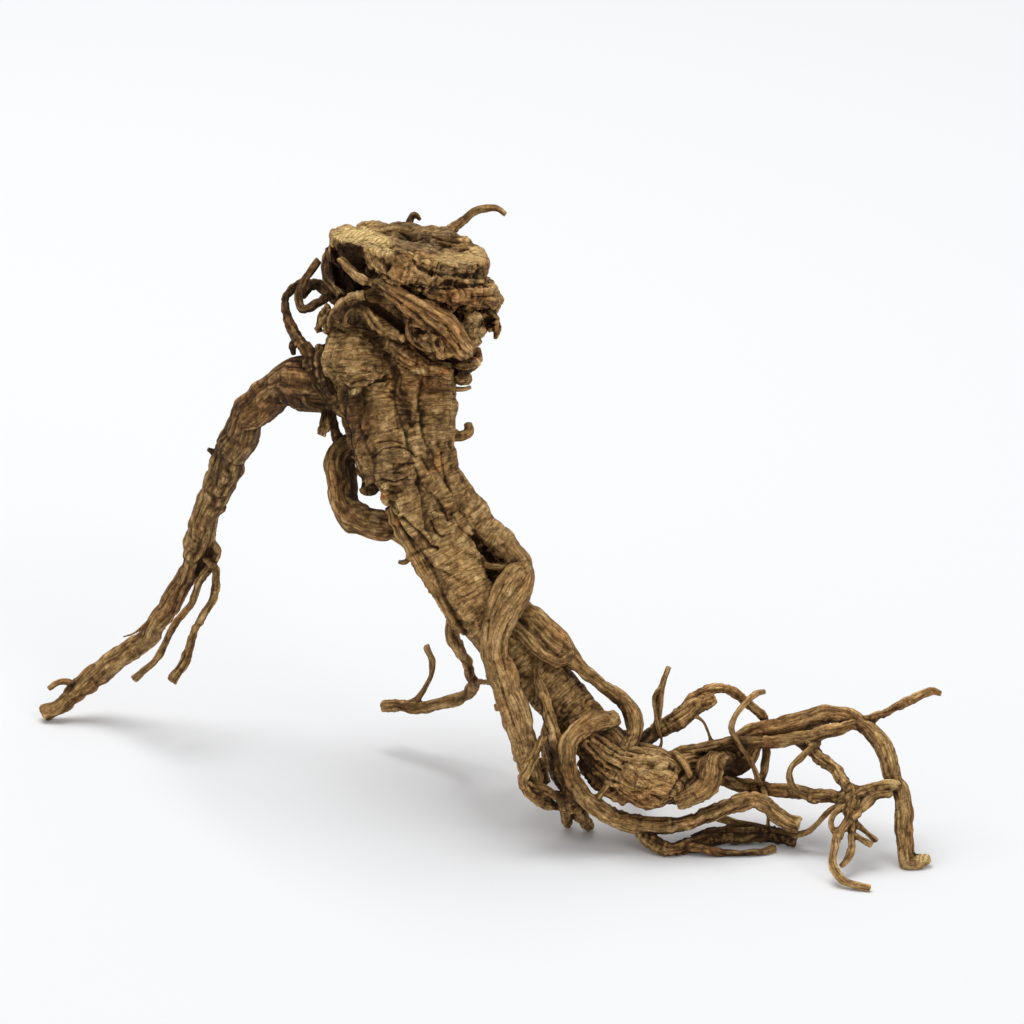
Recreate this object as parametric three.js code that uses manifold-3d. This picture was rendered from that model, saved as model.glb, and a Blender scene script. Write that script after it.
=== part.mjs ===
// A dried valerian root with its crown, grown as one piece: a stout crown cut flat on top, a taproot that
// sweeps down to the right into a tangle of rootlets, and one long side root that props it up on the left.
// Every strand is a lathe-turned cylinder bent along a smooth line, and all of them are joined in one solid.
import * as THREE from "three";
import { mergeVertices } from "three/addons/utils/BufferGeometryUtils.js";
import Module from "manifold-3d";

const wasm = await Module();
wasm.setup();

// Driving dimensions, in millimetres and degrees.
const LEAN = THREE.MathUtils.degToRad(20); // the drawing board of the layout below leans back by this much
const SWEEP = 0.07; // and the plant lies this much further behind the board for each millimetre up it
const SIZE = 1; // 1 gives a root 233 mm across; every strand follows it
const FOOT_CENTRE = new THREE.Vector2(-9.4, 32.2); // the middle of the footprint, where the origin is
const THICK = { radius: 4.5, sides: 8, step: 7.5 }; // how finely a strand is divided, by its girth
const MEDIUM = { radius: 2, sides: 6, step: 6.5 };
const THIN = { radius: 0, sides: 5, step: 6.5 };
const FLOOR_SLAB = 20; // depth of the block that trims the feet flat

// Layout. A strand is a list of stations [across, up the board, behind the board, radius].
const CROWN = [
  [-24, 116, 0, 12], [-25, 127.5, 0, 15.5], [-26.5, 137.5, -1, 18], [-26.8, 145, -2, 19.5], [-25.7, 151, -4, 20],
];
const TAPROOT = [
  [-23.5, 126, 0, 11.5], [-27, 112.5, 0, 12.5], [-27, 102.5, 0, 11.8], [-23.5, 92.5, 0, 10], [-19.5, 82.5, 0, 8.8],
  [-14, 72.5, 0, 7.6], [-9, 62.5, 0, 7.8], [-1.5, 52.5, 1, 7.6], [8.5, 41.5, 3, 7], [18, 31, 2, 6.2],
  [28, 22, 0, 6.2], [37, 18, -2, 6.8], [44, 16.5, -2, 5.2],
];
const CROSSING_ROOT = [
  [-18.7, 113, -3, 6], [-18.7, 105, -4, 5.5], [-17.2, 96, -4, 5], [-14, 87.5, -3, 4.3], [-8, 81, -2, 3.8],
  [-1.7, 76, -2, 3.6], [2.5, 71, -4, 3.5], [2.5, 65.5, -7, 3.7], [-1.2, 60.5, -9.5, 4], [-4.2, 54.5, -10.5, 3.8],
  [-4, 47.5, -9.5, 3.7], [-1.7, 40.5, -8, 4], [1.2, 33.5, -7, 3.6], [3.2, 26.2, -6, 3.4], [4.7, 20, -5, 2.8],
  [7, 14.5, -3, 1.8], [11, 10.5, 0, 0.9],
];
const SIDE_ROOT = [
  [-45, 116, 2, 6.6], [-52.2, 116.7, 2, 6.5], [-58.2, 116.2, 5, 5.8], [-66, 109.7, 13, 5], [-70.3, 102.8, 21, 4.7],
  [-75.1, 92.7, 31, 4.2], [-79.6, 85, 39, 4], [-81.6, 77.3, 46, 3.6], [-83.6, 72, 50, 3.1], [-87.3, 64.2, 56, 2.9],
  [-92.9, 56.3, 62, 2.8], [-96.3, 51, 66, 2.9], [-103.3, 46.5, 70, 3.2], [-109.7, 41.9, 74, 3.3],
  [-115.1, 37.6, 76, 2.8], [-120.4, 33.1, 76, 2.6], [-125, 30.6, 77, 2.4],
];

// Ridges and bands that lie on the crown and the taproot.
const CROWN_BANDS = [
  [[-36.7, 150.5, -16, 2.4], [-28, 146.5, -20, 2.7], [-18, 144.5, -19, 2.7], [-10.5, 144.5, -14, 2.7], [-6, 146, -6, 2.4],
    [-5, 147.5, 2, 2]],
  [[-35, 147, -15, 2.6], [-29.2, 144, -19, 3.6], [-24.2, 141.5, -20, 3.4], [-18, 140, -19, 3], [-10.5, 140, -15, 3],
    [-4.2, 139.5, -7, 3.2], [-3.2, 138.7, 0, 3]],
  [[-23, 138, -20, 2.3], [-15.5, 136.2, -18.5, 3], [-8, 136, -12, 3.2], [-3.5, 136.5, -5, 3], [-3.5, 136, 3, 2.6]],
  [[-41.7, 147, -13, 1.7], [-36.7, 143, -18, 2.1], [-30, 138.2, -21, 3.1], [-23.5, 134.2, -22, 4.2],
    [-17.5, 130.2, -19.5, 5.4], [-13, 126, -15, 5.2], [-10.5, 122, -9, 4]],
  [[-40.5, 136, -13, 2.8], [-34.2, 133.5, -15.5, 2.9], [-28.5, 128.7, -16.5, 3.2], [-23, 123.7, -15.5, 3.5],
    [-16.7, 120.5, -12, 3.6], [-12.5, 119.5, -7, 3.6]],
  [[-45, 150.5, -4, 2.8], [-44.7, 145.5, -5, 3], [-43, 141.2, -6, 3.5], [-40.5, 137.5, -7, 3.5]],
  [[-9, 133, -4, 3.4], [-5.5, 131.2, -3, 2.8], [-3.7, 129, -3, 1.6]],
  [[-46.5, 136.7, -6, 1.5], [-45.2, 133, -10, 1.8], [-42.2, 129.2, -13, 1.6]],
  [[-47.5, 134.5, -4, 1.5], [-48.5, 130.5, -6, 1.8], [-46, 127, -10, 1.5]],
  [[-43.5, 134.2, -11, 1.7], [-41.2, 137, -11, 1.9], [-38, 138.2, -12, 2], [-35, 137, -15, 1.8]],
  [[-46, 148, -1, 2.4], [-41.5, 146, 10, 3.2], [-28, 143, 18.5, 3.6], [-14, 141, 15, 3.6], [-6, 141, 5, 2.8]],
  [[-43, 132, 0, 3], [-37, 128, 11, 4], [-26, 124, 15, 4.2], [-14, 122, 9, 3.6], [-10, 124, 1, 3]],
];
const TAPROOT_RIDGES = [
  [[-33, 114, -8, 5], [-32.2, 105, -8, 5.2], [-29.2, 96, -7, 5], [-25, 87.5, -6, 4.4], [-20.5, 78.7, -5, 3.8]],
  [[-40.5, 112.5, 2, 4.5], [-39.2, 105, 2, 4], [-37.5, 97.5, 3, 3.5], [-34.2, 91.2, 3, 2.5]],
  [[-28.5, 87.5, -3, 2.6], [-26.7, 82.5, -4, 2.6], [-23.7, 76.2, -4, 2.2], [-20.5, 68.7, -3, 2], [-16.7, 61.2, -2, 2],
    [-12.5, 55.5, -1, 1.8], [-8, 51.2, 0, 1.5]],
  [[-24, 121, 9, 4.5], [-25, 107, 10, 4.4], [-21, 92, 8, 3.8], [-15, 78, 6.5, 3]],
  [[19.5, 28.2, -5, 2], [25, 22.5, -6, 2.2], [33.2, 19.5, -8, 2.5], [40, 20, -8, 2]],
  [[17.5, 25.7, -3, 2], [22, 19.5, -3, 2.2], [29.5, 13.5, -4, 2.2], [37.5, 11.5, -4, 1.8], [44.5, 12.5, -4, 1.5]],
  [[19.5, 23.2, -5.5, 1.7], [25.7, 17.5, -7, 2], [34.5, 14.2, -7, 2], [42, 15, -6, 2]],
];

// Roots that leave the crown and the upper taproot.
const UPPER_ROOTS = [
  // The loop beside the taproot, its hook and the stubs near it.
  [[-39, 102.5, 4, 3.5], [-43.5, 98, 4, 4], [-43.7, 92, 4, 4.1], [-42.2, 86.5, 4, 4.2], [-38, 82.5, 4, 4],
    [-32.2, 80.5, 4, 3.6], [-25, 78.7, 3, 3]],
  [[-27.5, 78, 3, 1.2], [-25.5, 74.5, 3, 1.1], [-26.5, 72, 3, 1], [-28.7, 72.2, 3, 0.8]],
  [[-41, 117, 0, 2], [-45, 113, 0, 1.8], [-47, 106.2, 0, 1.7], [-48, 103.2, 0, 1.3]],
  [[-44.5, 112, 2, 1.5], [-45.2, 107, 3, 1.4], [-43.7, 101.5, 4, 1.6]],
  // Loops on the left of the crown.
  [[-48.5, 148.2, -2, 0.9], [-50.5, 145.5, -2, 1.2], [-52.7, 142.2, -3, 1.2], [-54, 138.5, -4, 1.2], [-52.7, 135.2, -5, 1.2],
    [-49.2, 137.2, -5, 1.3], [-46, 139.2, -5, 1.3], [-42, 139.7, -5, 1.2]],
  [[-51.5, 143.5, -2, 1], [-55.5, 141.2, -1, 1.3], [-57.2, 137.7, -1, 1.3], [-56.5, 133.7, -2, 1.4], [-54.2, 129.5, -3, 1.6],
    [-51.7, 125, -4, 1.8], [-50, 120, -4, 1.8], [-47.5, 115, -3, 1.8], [-43.5, 111.2, -2, 1.8]],
  [[-53, 138.8, 2, 1.2], [-50, 141.7, 4, 1.5], [-47.2, 140.2, 4, 1.5], [-43, 137.5, 3, 1.8]],
  [[-52.5, 128, -3, 1.3], [-54.8, 126.7, -1, 1.2], [-55, 124, 0, 0.8]],
  [[-48, 126.2, -5, 1.8], [-47.5, 120, -5.5, 1.8], [-45, 113.7, -5, 1.8], [-40, 108.7, -4, 2.2]],
  [[-53, 114.5, -3, 1.2], [-51, 111.7, -2, 1.2], [-47, 110.5, -2, 1]],
  // Twigs on the cut top.
  [[-18, 150, 8, 1.5], [-16, 154.5, 8, 1.4], [-13.5, 157.2, 8, 1.3], [-10.5, 159.5, 8, 1.1], [-6.7, 160.7, 8, 1.1], [-3.7, 161, 8, 1],
    [-1.2, 159.7, 8, 0.8]],
  [[-26.5, 155, 10, 1.5], [-25.2, 159, 10, 1], [-23.5, 159.2, 10, 0.7]],
  [[-38.5, 155.5, 7, 1.4], [-35.5, 157.5, 7, 1.2], [-31.5, 155.5, 8, 1.2]],
  // Twigs on the right of the crown and the taproot.
  [[-16, 116, -6, 0.9], [-12.2, 115.2, -6, 0.7], [-10.2, 115.7, -6, 0.6]],
  [[-16.5, 105.5, -1, 1.5], [-13.5, 103.5, -1, 1.3], [-11.2, 104, -1, 1.2], [-11.2, 106.7, -1, 1]],
  [[-12, 90, -3, 0.9], [-8, 86.7, -2, 0.8], [-5, 82.7, -2, 0.7], [-2.2, 79, -3, 0.8], [0.5, 75.5, -3, 0.8]],
];

// Small roots on the long side root.
const SIDE_ROOTLETS = [
  [[-80.5, 79.5, 44, 1], [-78, 76, 46, 1], [-77, 73.4, 47, 1], [-79.1, 69.8, 48, 1.1], [-82, 66.1, 49, 1.2],
    [-83.4, 61.2, 51, 1.1], [-87.1, 56.2, 53, 1.1], [-91.2, 49.9, 55, 1.1], [-94.1, 45, 57, 1.2], [-99.5, 39.7, 60, 1.2]],
  [[-82, 73.5, 48, 1], [-79, 71.2, 47, 1.1], [-77.3, 67.7, 46, 1.3], [-77.7, 63.1, 47, 1.3], [-79.9, 58.1, 48, 1.4],
    [-82.7, 53.5, 49, 1.3], [-84.6, 48.3, 50, 1.4], [-88.7, 40.2, 52, 1.5]],
  [[-77.5, 88.5, 37, 2], [-74.8, 84.6, 38, 1.9]],
  [[-94.5, 57, 62, 0.6], [-99.2, 52.7, 62, 0.45], [-102.6, 51.6, 62, 0.35]],
  [[-114.5, 38, 75.5, 1], [-119, 39.5, 74, 0.9], [-123.7, 37.4, 75, 0.8]],
  [[-73.5, 98, 27, 1.2], [-78.3, 100.6, 25, 0.8]],
];

// Roots that wind round the lower taproot and feed the tangle.
const WINDING_ROOTS = [
  // The shoulder root that runs down the right side, and the curl under it.
  [[-1, 64, -3, 2.5], [4.5, 58, -4, 3.8], [9, 53, -3, 4.3], [13.2, 49, -2, 3.5], [18.2, 44.7, -1, 2.2],
    [23.2, 40.7, -1, 2], [27.5, 37.2, -1, 2.2], [30.2, 33.2, -2, 2.3], [30.5, 28.7, -2, 2.2], [28.7, 24, -3, 2]],
  [[-0.5, 57, -6, 2], [4, 52.5, -6, 2.2], [8.2, 48.7, -6, 2], [12, 47.5, -5, 1.8], [14.5, 49.5, -4, 1.6]],
  // The strand in front of the tangle.
  [[6, 46.2, -5, 1.3], [7, 40, -6, 1.5], [9, 33, -7, 1.7], [11.2, 26.2, -7, 1.8], [13.2, 19.5, -6, 1.8],
    [14, 13.2, -4, 1.7], [15.2, 9.5, -1, 1.4]],
  // The long runner: it hooks over the taproot and swings out along the ground.
  [[26, 33.2, -4, 2], [22, 32.2, -7, 2.6], [17.7, 30.7, -8, 2.5], [14.7, 27.7, -9, 2.3], [13.7, 23.2, -9, 2.3],
    [14.7, 18.5, -8, 2.2], [18, 14.2, -6, 2.2], [23, 10.2, -4, 2.2], [29.5, 7, -3, 2.2], [36.2, 6, -3, 2.2],
    [43.5, 7, -3, 2.2], [50.7, 9.7, -3, 2.2], [57, 11.7, -3, 2.2], [62.5, 12, -3, 2], [66.2, 9.7, -3, 2],
    [69.5, 7.2, -3, 2.2], [71.7, 6.5, -3, 1.8]],
  [[25.5, 20, -7, 1.1], [23.5, 16.5, -6, 1], [21, 12.5, -5, 1]],
  [[14.5, 20, -2, 2.5], [16.2, 13.2, 2, 2.6], [17.2, 8.7, 6, 2], [19.5, 4.7, 11.6, 1.2]],
  // Loops at the lower left of the tangle.
  [[7.5, 29, -6, 1.2], [5.2, 23, -7, 1.3], [3, 18.2, -6, 1.2], [4.2, 14.7, -4, 1.3], [7.7, 11.7, -2, 1.4],
    [11.2, 10.5, 0, 0.9]],
  [[3, 17.5, -5, 1.2], [7.5, 16.2, -4, 1.6], [11.2, 13.7, -2, 1.6], [13.2, 9.5, 3, 1.5], [14.5, 5.5, 12.8, 1.5]],
  [[6, 23, -3.5, 2], [8.5, 16.5, -2.5, 1.8]],
  [[9, 31, 0, 1.8], [11, 21.2, 0, 2], [12.7, 16.7, -1, 1.8], [15.5, 14, -1, 1.8]],
  [[-2.5, 37, -5, 1.8], [-2.2, 34.7, -5, 1.8]],
  // The knob where the taproot turns back, and the small root on it.
  [[41, 12.5, -5, 2.2], [46, 14.7, -7, 2.6], [49, 18.7, -7, 2.9], [50.2, 22.2, -4, 2.6], [52.5, 22.5, 2, 2.9],
    [55.7, 20.5, 6, 3.4]],
  [[40, 24.5, -5, 1], [42.7, 22, -8, 1], [44.7, 18.7, -8.5, 1]],
  [[40, 19.5, 2, 5], [46, 21, 4, 4.8], [52, 20.7, 6, 4.4], [57.5, 22.5, 6, 3.6], [61.5, 27.5, 6, 2.8]],
];

// The tangle to the right.
const TANGLE = [
  // The arch and its foot, and the long straight root in front of it.
  [[52, 24, 5, 2.8], [57, 26.5, 5, 2.7], [63.2, 29.7, 5, 2.8], [72, 32, 4, 3], [79, 33.7, 2, 2.9], [85, 32.5, 0, 2.4],
    [90, 29.5, -3, 2.3], [93, 24.7, -5, 2.3], [95, 19, -7, 2.2], [97, 12.8, -8.5, 2.3], [97.5, 6.8, -10, 2.4],
    [97.1, 1.2, -10.2, 2.4], [97.8, -2.3, -9.6, 2.2], [100.8, -2.5, -9.3, 1.9], [103.8, -1.2, -9.5, 1.3]],
  [[42, 24, 1, 1.6], [52, 26.5, 0, 1.7], [62, 27, 0, 1.8], [72, 28, -1, 1.8], [82, 30.2, -2, 1.6], [89.5, 32.5, -2, 1.4],
    [95.7, 35.5, -2, 1.3], [100.7, 37.7, -3, 1.2], [104.7, 39.5, -3, 1.1], [107.2, 39, -3, 0.8]],
  // The level root behind, the slanting root and the small hoop.
  [[50, 20, 7, 2.6], [55.7, 16.2, 6, 2.3], [63.2, 14.7, 4, 2], [72, 14.2, 0, 1.8], [80.7, 14, -6, 1.8],
    [85.2, 14, -10, 1.8]],
  [[71, 28, 2, 1.6], [77.5, 23, -1, 1.7], [82, 18.7, -6, 1.7], [85.2, 15, -10, 1.9]],
  [[77, 27, 0, 1.1], [72.2, 23.7, -4, 1], [69.5, 20.5, -6, 0.95], [69.5, 17, -6, 0.95], [71.2, 14.4, -3.5, 0.9],
    [74, 13.2, -2, 0.8]],
  // The forked root that hangs from them.
  [[84.7, 16.5, -10, 1.7], [84.6, 11.9, -11.5, 1.9], [82.7, 7.8, -13, 1.4], [80.2, 4, -15, 1.2], [79.3, 0, -17.5, 1.1],
    [79.4, -3.2, -19.5, 1.2], [81.2, -5.8, -20.6, 1.1], [84.6, -7, -21.8, 1], [88, -7.9, -22.6, 1]],
  [[84, 13.5, -11, 1.8], [89, 15.9, -10.5, 1.7], [93.4, 16.8, -10.5, 1.6], [95.4, 16.4, -9.5, 1.5]],
  [[94, 15.2, -10.5, 1.3], [89.6, 13.6, -11.5, 1.4], [84.6, 9.5, -12.5, 1.5]],
  [[84.6, 9.8, -11.8, 1.3], [84, 4.6, -13, 1], [84.2, 1.4, -14, 1], [82.9, -1.5, -15, 0.9], [81, -3.2, -16.5, 0.8]],
  [[84.2, 8, -12.5, 0.9], [87.5, 5.6, -12, 0.8], [90.4, 3.1, -12, 0.75]],
  [[83.6, 5.2, -13, 0.8], [86.7, 3.3, -13, 0.8], [89.2, 1.9, -13, 0.8]],
  [[84, 12.5, -11, 0.9], [79.7, 9.8, -11.5, 0.85], [79, 7.1, -12.5, 0.8], [80.4, 3.8, -15, 0.9]],
  // Roots that lie on the ground.
  [[30.5, 6, -2, 1.6], [34.5, 2.4, -2, 2], [40, 0.8, -3.2, 2.1], [47, 2, -0.5, 1.9], [55.7, 3, 2.5, 1.8],
    [63.2, 3, 2.5, 1.7], [71, 1.8, 0.5, 1.3]],
  [[45, 3, 0, 1.2], [55.7, 4.8, 2, 1.2], [64.5, 4.5, 2, 1.3], [71.2, 3.8, 1, 1.2]],
  [[42, 1.5, -3.2, 1], [51.5, -0.4, -3.4, 1.1], [59, -0.4, -3.2, 1], [66, 0.9, -1, 1]],
  [[48, 9, -1, 0.9], [55.7, 7, 2, 1], [63.2, 5.2, 2, 1], [69.5, 4, 0, 0.9], [73, 4.6, -2, 0.85], [76.5, 7, -5, 0.85],
    [79, 10.2, -8, 0.9], [83, 12.9, -10, 0.9]],
  [[64.2, 11.5, -2.5, 0.5], [64, 4.5, 2, 0.5]],
  // Roots that rise at the back of the tangle.
  [[39.2, 46, -3, 0.7], [38.2, 42, -2, 0.9], [37, 37.5, -1, 1], [36.2, 32.5, -1, 1], [35, 28.8, -0.5, 1.1],
    [31, 24.5, 0, 1.2]],
  [[38.2, 41.5, -2, 0.5], [35.7, 39, -2.5, 0.5], [35.5, 35.5, -2.5, 0.5], [36.5, 30, -2.5, 0.6], [37.2, 27, -2.5, 0.6],
    [35.8, 23, -3, 0.6]],
  [[30, 24, 2, 1.8], [35.7, 29.2, 3, 2.2], [41.5, 32.7, 3, 2.4], [47, 35.7, 3, 2.2], [51, 37.7, 2, 1.5]],
  [[43, 34, 4, 1.9], [48.2, 38.5, 5, 1.6], [52, 40, 5, 1.4], [55.7, 39.5, 5, 1.4], [59.5, 36.7, 6, 1.3],
    [63, 33.5, 7, 1.2], [64.7, 29.2, 8, 1.1], [64.2, 23, 6, 1.1], [62.2, 15.2, 4.5, 1.2]],
  [[44.5, 34, 2, 0.6], [48, 31.5, 1, 0.55], [50, 26.5, 1, 0.6]],
  [[63.5, 39.5, -1, 0.7], [61.2, 39, -2, 0.8], [58, 36.7, -3.5, 0.8], [55.5, 33.2, -4, 0.8], [55, 30, -3.5, 0.85],
    [57, 26.2, -2.5, 0.85], [59.5, 22.5, -3, 0.85], [61, 18.7, -3, 0.85], [62.5, 15.3, 2.5, 0.85], [64.2, 12.2, -2, 0.7]],
];

// Thin roots behind the taproot.
const BACK_ROOTS = [
  [[-13, 61, 3, 2.2], [-15, 53.5, 8, 2], [-12.6, 48.1, 16, 1.7], [-10.5, 43, 26, 1.5], [-10, 39.7, 34, 1.6],
    [-12.6, 36.7, 40, 1.7], [-17.3, 35, 45, 1.7], [-23.8, 33.8, 50, 1.7], [-29, 33.4, 54, 1.8], [-33.8, 33.2, 58, 1.9]],
  [[-28.5, 33.8, 53, 1], [-24.3, 36.3, 51, 1], [-21.7, 40.5, 50, 1], [-20.9, 44.9, 48, 1], [-22.2, 49.9, 46, 1]],
  [[-10, 40.3, 33, 0.8], [-6.3, 41.2, 20, 0.8], [-2.3, 40, 2, 0.9]],
];

// Roots on the far side, which reach the ground behind the tangle.
const FAR_ROOTS = [
  [[26, 26, 2, 2.4], [28, 27, 12, 2.2], [30, 24, 22, 2], [32, 18.5, 31, 1.8], [35, 15.6, 38, 1.6], [40, 17, 42.5, 1.2]],
  [[10, 38, 6, 2.4], [11, 36, 18, 2.2], [10, 31, 30, 2], [9, 24, 40, 1.8], [9, 18.4, 47, 1.6], [5, 19.6, 51.5, 1.2]],
  [[-4, 62, 5, 2.2], [-2, 55, 14, 1.8], [2, 47, 22, 1.5], [8, 40, 27, 1.3], [15, 35, 30, 1.1], [21, 33, 34, 0.8]],
];

// Stout lumps as [centre across, up, behind, radius across, up, behind].
const LUMPS = [
  [-38.7, 125, -5, 10.3, 9.8, 9.5],
  [-12.5, 119.5, -6, 4.2, 4, 4.5],
  [-35.7, 90.5, 3, 2.6, 2.4, 2.4],
  [38, 19, -3, 7, 6.4, 7],
];
// The hollow under the cut rim, on the crown's left.
const HOLLOW = [-39.5, 143.5, -17, 2.8, 5.6, 5];

// Turns a place on the leaning board to the part's own frame, with Z up.
function stand(across, up, behind) {
  const place = new THREE.Vector3(across, behind + SWEEP * up, up);
  place.applyAxisAngle(new THREE.Vector3(1, 0, 0), -LEAN);
  place.sub(new THREE.Vector3(FOOT_CENTRE.x, FOOT_CENTRE.y, 0));
  return place.multiplyScalar(SIZE);
}

function solidOf(geometry) {
  const bare = geometry.clone();
  bare.deleteAttribute("normal");
  bare.deleteAttribute("uv");
  const merged = mergeVertices(bare, 1e-4);
  const mesh = new wasm.Mesh({
    numProp: 3,
    vertProperties: merged.attributes.position.array,
    triVerts: new Uint32Array(merged.index.array),
  });
  return new wasm.Manifold(mesh);
}

// A straight cylinder, bent along the strand's line and given its girth at every ring.
function strand(stations) {
  const line = new THREE.CatmullRomCurve3(stations.map(([x, up, behind]) => stand(x, up, behind)), false, "catmullrom");
  const girth = new THREE.CatmullRomCurve3(stations.map((s) => new THREE.Vector3(s[3] * SIZE)), false, "catmullrom");
  const widest = Math.max(...stations.map((s) => s[3]));
  const { sides, step } = [THICK, MEDIUM, THIN].find((grade) => widest >= grade.radius);
  const rings = Math.ceil(line.getLength() / (step * SIZE));
  const frames = line.computeFrenetFrames(rings);
  const geometry = new THREE.CylinderGeometry(1, 1, 1, sides, rings);
  const places = geometry.attributes.position;
  for (let i = 0; i < places.count; i++) {
    const along = places.getY(i) + 0.5;
    const ring = Math.round(along * rings);
    const radius = girth.getPoint(line.getUtoTmapping(along)).x;
    const place = line.getPointAt(along);
    place.addScaledVector(frames.normals[ring], radius * places.getX(i));
    place.addScaledVector(frames.binormals[ring], -radius * places.getZ(i));
    places.setXYZ(i, place.x, place.y, place.z);
  }
  return solidOf(geometry);
}

function lump([across, up, behind, rx, ru, rb]) {
  const geometry = new THREE.SphereGeometry(SIZE, 10, 7);
  geometry.scale(rx, rb, ru);
  geometry.rotateX(-LEAN);
  geometry.translate(...stand(across, up, behind));
  return solidOf(geometry);
}

// Everything under the ground plane is worn away, which leaves small flat feet.
function floorSlab() {
  const slab = new THREE.BoxGeometry(600 * SIZE, 600 * SIZE, FLOOR_SLAB);
  slab.translate(0, 0, -FLOOR_SLAB / 2);
  return solidOf(slab);
}

function rootSolid() {
  const strands = [
    CROWN, TAPROOT, CROSSING_ROOT, SIDE_ROOT, ...CROWN_BANDS, ...TAPROOT_RIDGES, ...UPPER_ROOTS,
    ...SIDE_ROOTLETS, ...WINDING_ROOTS, ...TANGLE, ...BACK_ROOTS, ...FAR_ROOTS,
  ];
  const grown = wasm.Manifold.union([...strands.map(strand), ...LUMPS.map(lump)]);
  const trimmed = grown.subtract(lump(HOLLOW)).subtract(floorSlab());
  // Strands that close round a pocket leave a skin inside, facing inwards: only the outer skin is kept.
  return wasm.Manifold.union(trimmed.decompose().filter((skin) => skin.volume() > 0));
}

function geometryOf(solid) {
  const { vertProperties, triVerts } = solid.getMesh();
  const geometry = new THREE.BufferGeometry();
  geometry.setAttribute("position", new THREE.BufferAttribute(vertProperties, 3));
  geometry.setIndex(new THREE.BufferAttribute(triVerts, 1));
  geometry.computeVertexNormals();
  return geometry;
}

const bark = new THREE.MeshStandardMaterial({ color: 0x7d5f3b, roughness: 0.9, metalness: 0 });
const root = new THREE.Mesh(geometryOf(rootSolid()), bark);
root.name = "valerian_root";

const part = new THREE.Group();
part.add(root);
export default part;
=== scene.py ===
# %% [markdown]
# # A dried valerian root
# The object is one plant: a stout crown that was cut flat, a wrinkled taproot that sweeps down into a
# tangle of rootlets, and a long side root that props it up. The imported solids are the fixed frame, so
# this lesson dresses them with bark: it grows every root from its own centre line, melts the roots
# together where they meet, and then wrinkles the skin along the grain.
#
# # The frame
# The imported part is loaded first. The noise that wrinkles the bark gets a fixed seed, so that every run
# grows the same root.

# %% Load the imported part
import math
import bpy
import bmesh
import numpy as np
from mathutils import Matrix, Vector, noise


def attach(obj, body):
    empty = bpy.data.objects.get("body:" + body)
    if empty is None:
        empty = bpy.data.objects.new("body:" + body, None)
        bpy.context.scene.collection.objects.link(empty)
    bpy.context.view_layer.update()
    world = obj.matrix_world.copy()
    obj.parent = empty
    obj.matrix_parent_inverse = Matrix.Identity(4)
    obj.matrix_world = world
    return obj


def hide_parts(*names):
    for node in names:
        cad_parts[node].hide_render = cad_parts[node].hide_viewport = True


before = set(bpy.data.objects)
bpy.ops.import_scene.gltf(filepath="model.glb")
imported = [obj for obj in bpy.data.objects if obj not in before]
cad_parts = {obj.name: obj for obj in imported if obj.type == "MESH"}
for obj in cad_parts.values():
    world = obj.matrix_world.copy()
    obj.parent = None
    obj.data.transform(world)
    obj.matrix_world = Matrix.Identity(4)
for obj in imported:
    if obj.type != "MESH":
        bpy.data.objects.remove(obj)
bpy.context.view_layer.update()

noise.seed_set(7)

# %% [markdown]
# # A leaning drawing board
# A root has no straight edges to measure from. The layout is therefore written as if it were drawn on a
# board that leans back by twenty degrees: how far across, how far up the board, how far behind it, and how
# thick the root is there, all in millimetres. One small function stands a place up in the part's frame.

# %% The board
MM = 0.001
LEAN = math.radians(20)
SWEEP = 0.07  # how far the board's top is swept back, for each millimetre up it
FOOT_CENTRE = (-9.4, 32.2)  # across and back from the foot of the board to the part's origin
VIEW_DISTANCE = 1200
VIEW_HEIGHT = 84.5


def stand(across, up, behind):
    """A place on the board, in millimetres, as a point of the part's frame, in metres."""
    deep = behind + SWEEP * up
    return Vector((
        across - FOOT_CENTRE[0],
        deep * math.cos(LEAN) + up * math.sin(LEAN) - FOOT_CENTRE[1],
        up * math.cos(LEAN) - deep * math.sin(LEAN),
    )) * MM


def seen(points):
    """Where points of the part, in millimetres, appear on the board from the camera: across and up."""
    deep = (points[:, 1] + FOOT_CENTRE[1]) * math.cos(LEAN) - points[:, 2] * math.sin(LEAN)
    up = (points[:, 1] + FOOT_CENTRE[1]) * math.sin(LEAN) + points[:, 2] * math.cos(LEAN)
    nearer = VIEW_DISTANCE / (VIEW_DISTANCE + deep)
    across = (points[:, 0] + FOOT_CENTRE[0]) * nearer
    return np.stack([across, VIEW_HEIGHT + (up - VIEW_HEIGHT) * nearer], axis=1)


# %% [markdown]
# # The camera and the light
# The camera looks along the board's depth, twenty degrees downwards, from a little over a metre away and
# through a long lens, so the root keeps its proportions. A wide soft lamp above and a weaker one in front
# stand in for a light tent. They come first, so that every later step can be looked at straight away.

# %% Camera
SENSOR_WIDTH = 36  # millimetres
VIEW_WIDTH = 0.256  # metres, where the root stands

view_middle = stand(0, VIEW_HEIGHT, -SWEEP * VIEW_HEIGHT)
distance = VIEW_DISTANCE * MM
lens_data = bpy.data.cameras.new("long_lens")
lens_data.sensor_width = SENSOR_WIDTH
lens_data.lens = SENSOR_WIDTH * distance / VIEW_WIDTH
lens_data.clip_end = 20
camera = bpy.data.objects.new("camera", lens_data)
camera.location = view_middle - distance * Vector((0, math.cos(LEAN), -math.sin(LEAN)))
camera.rotation_euler = (math.radians(90) - LEAN, 0, 0)
bpy.context.scene.collection.objects.link(camera)
bpy.context.scene.camera = camera
print("the lens is", round(lens_data.lens), "mm long")

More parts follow.
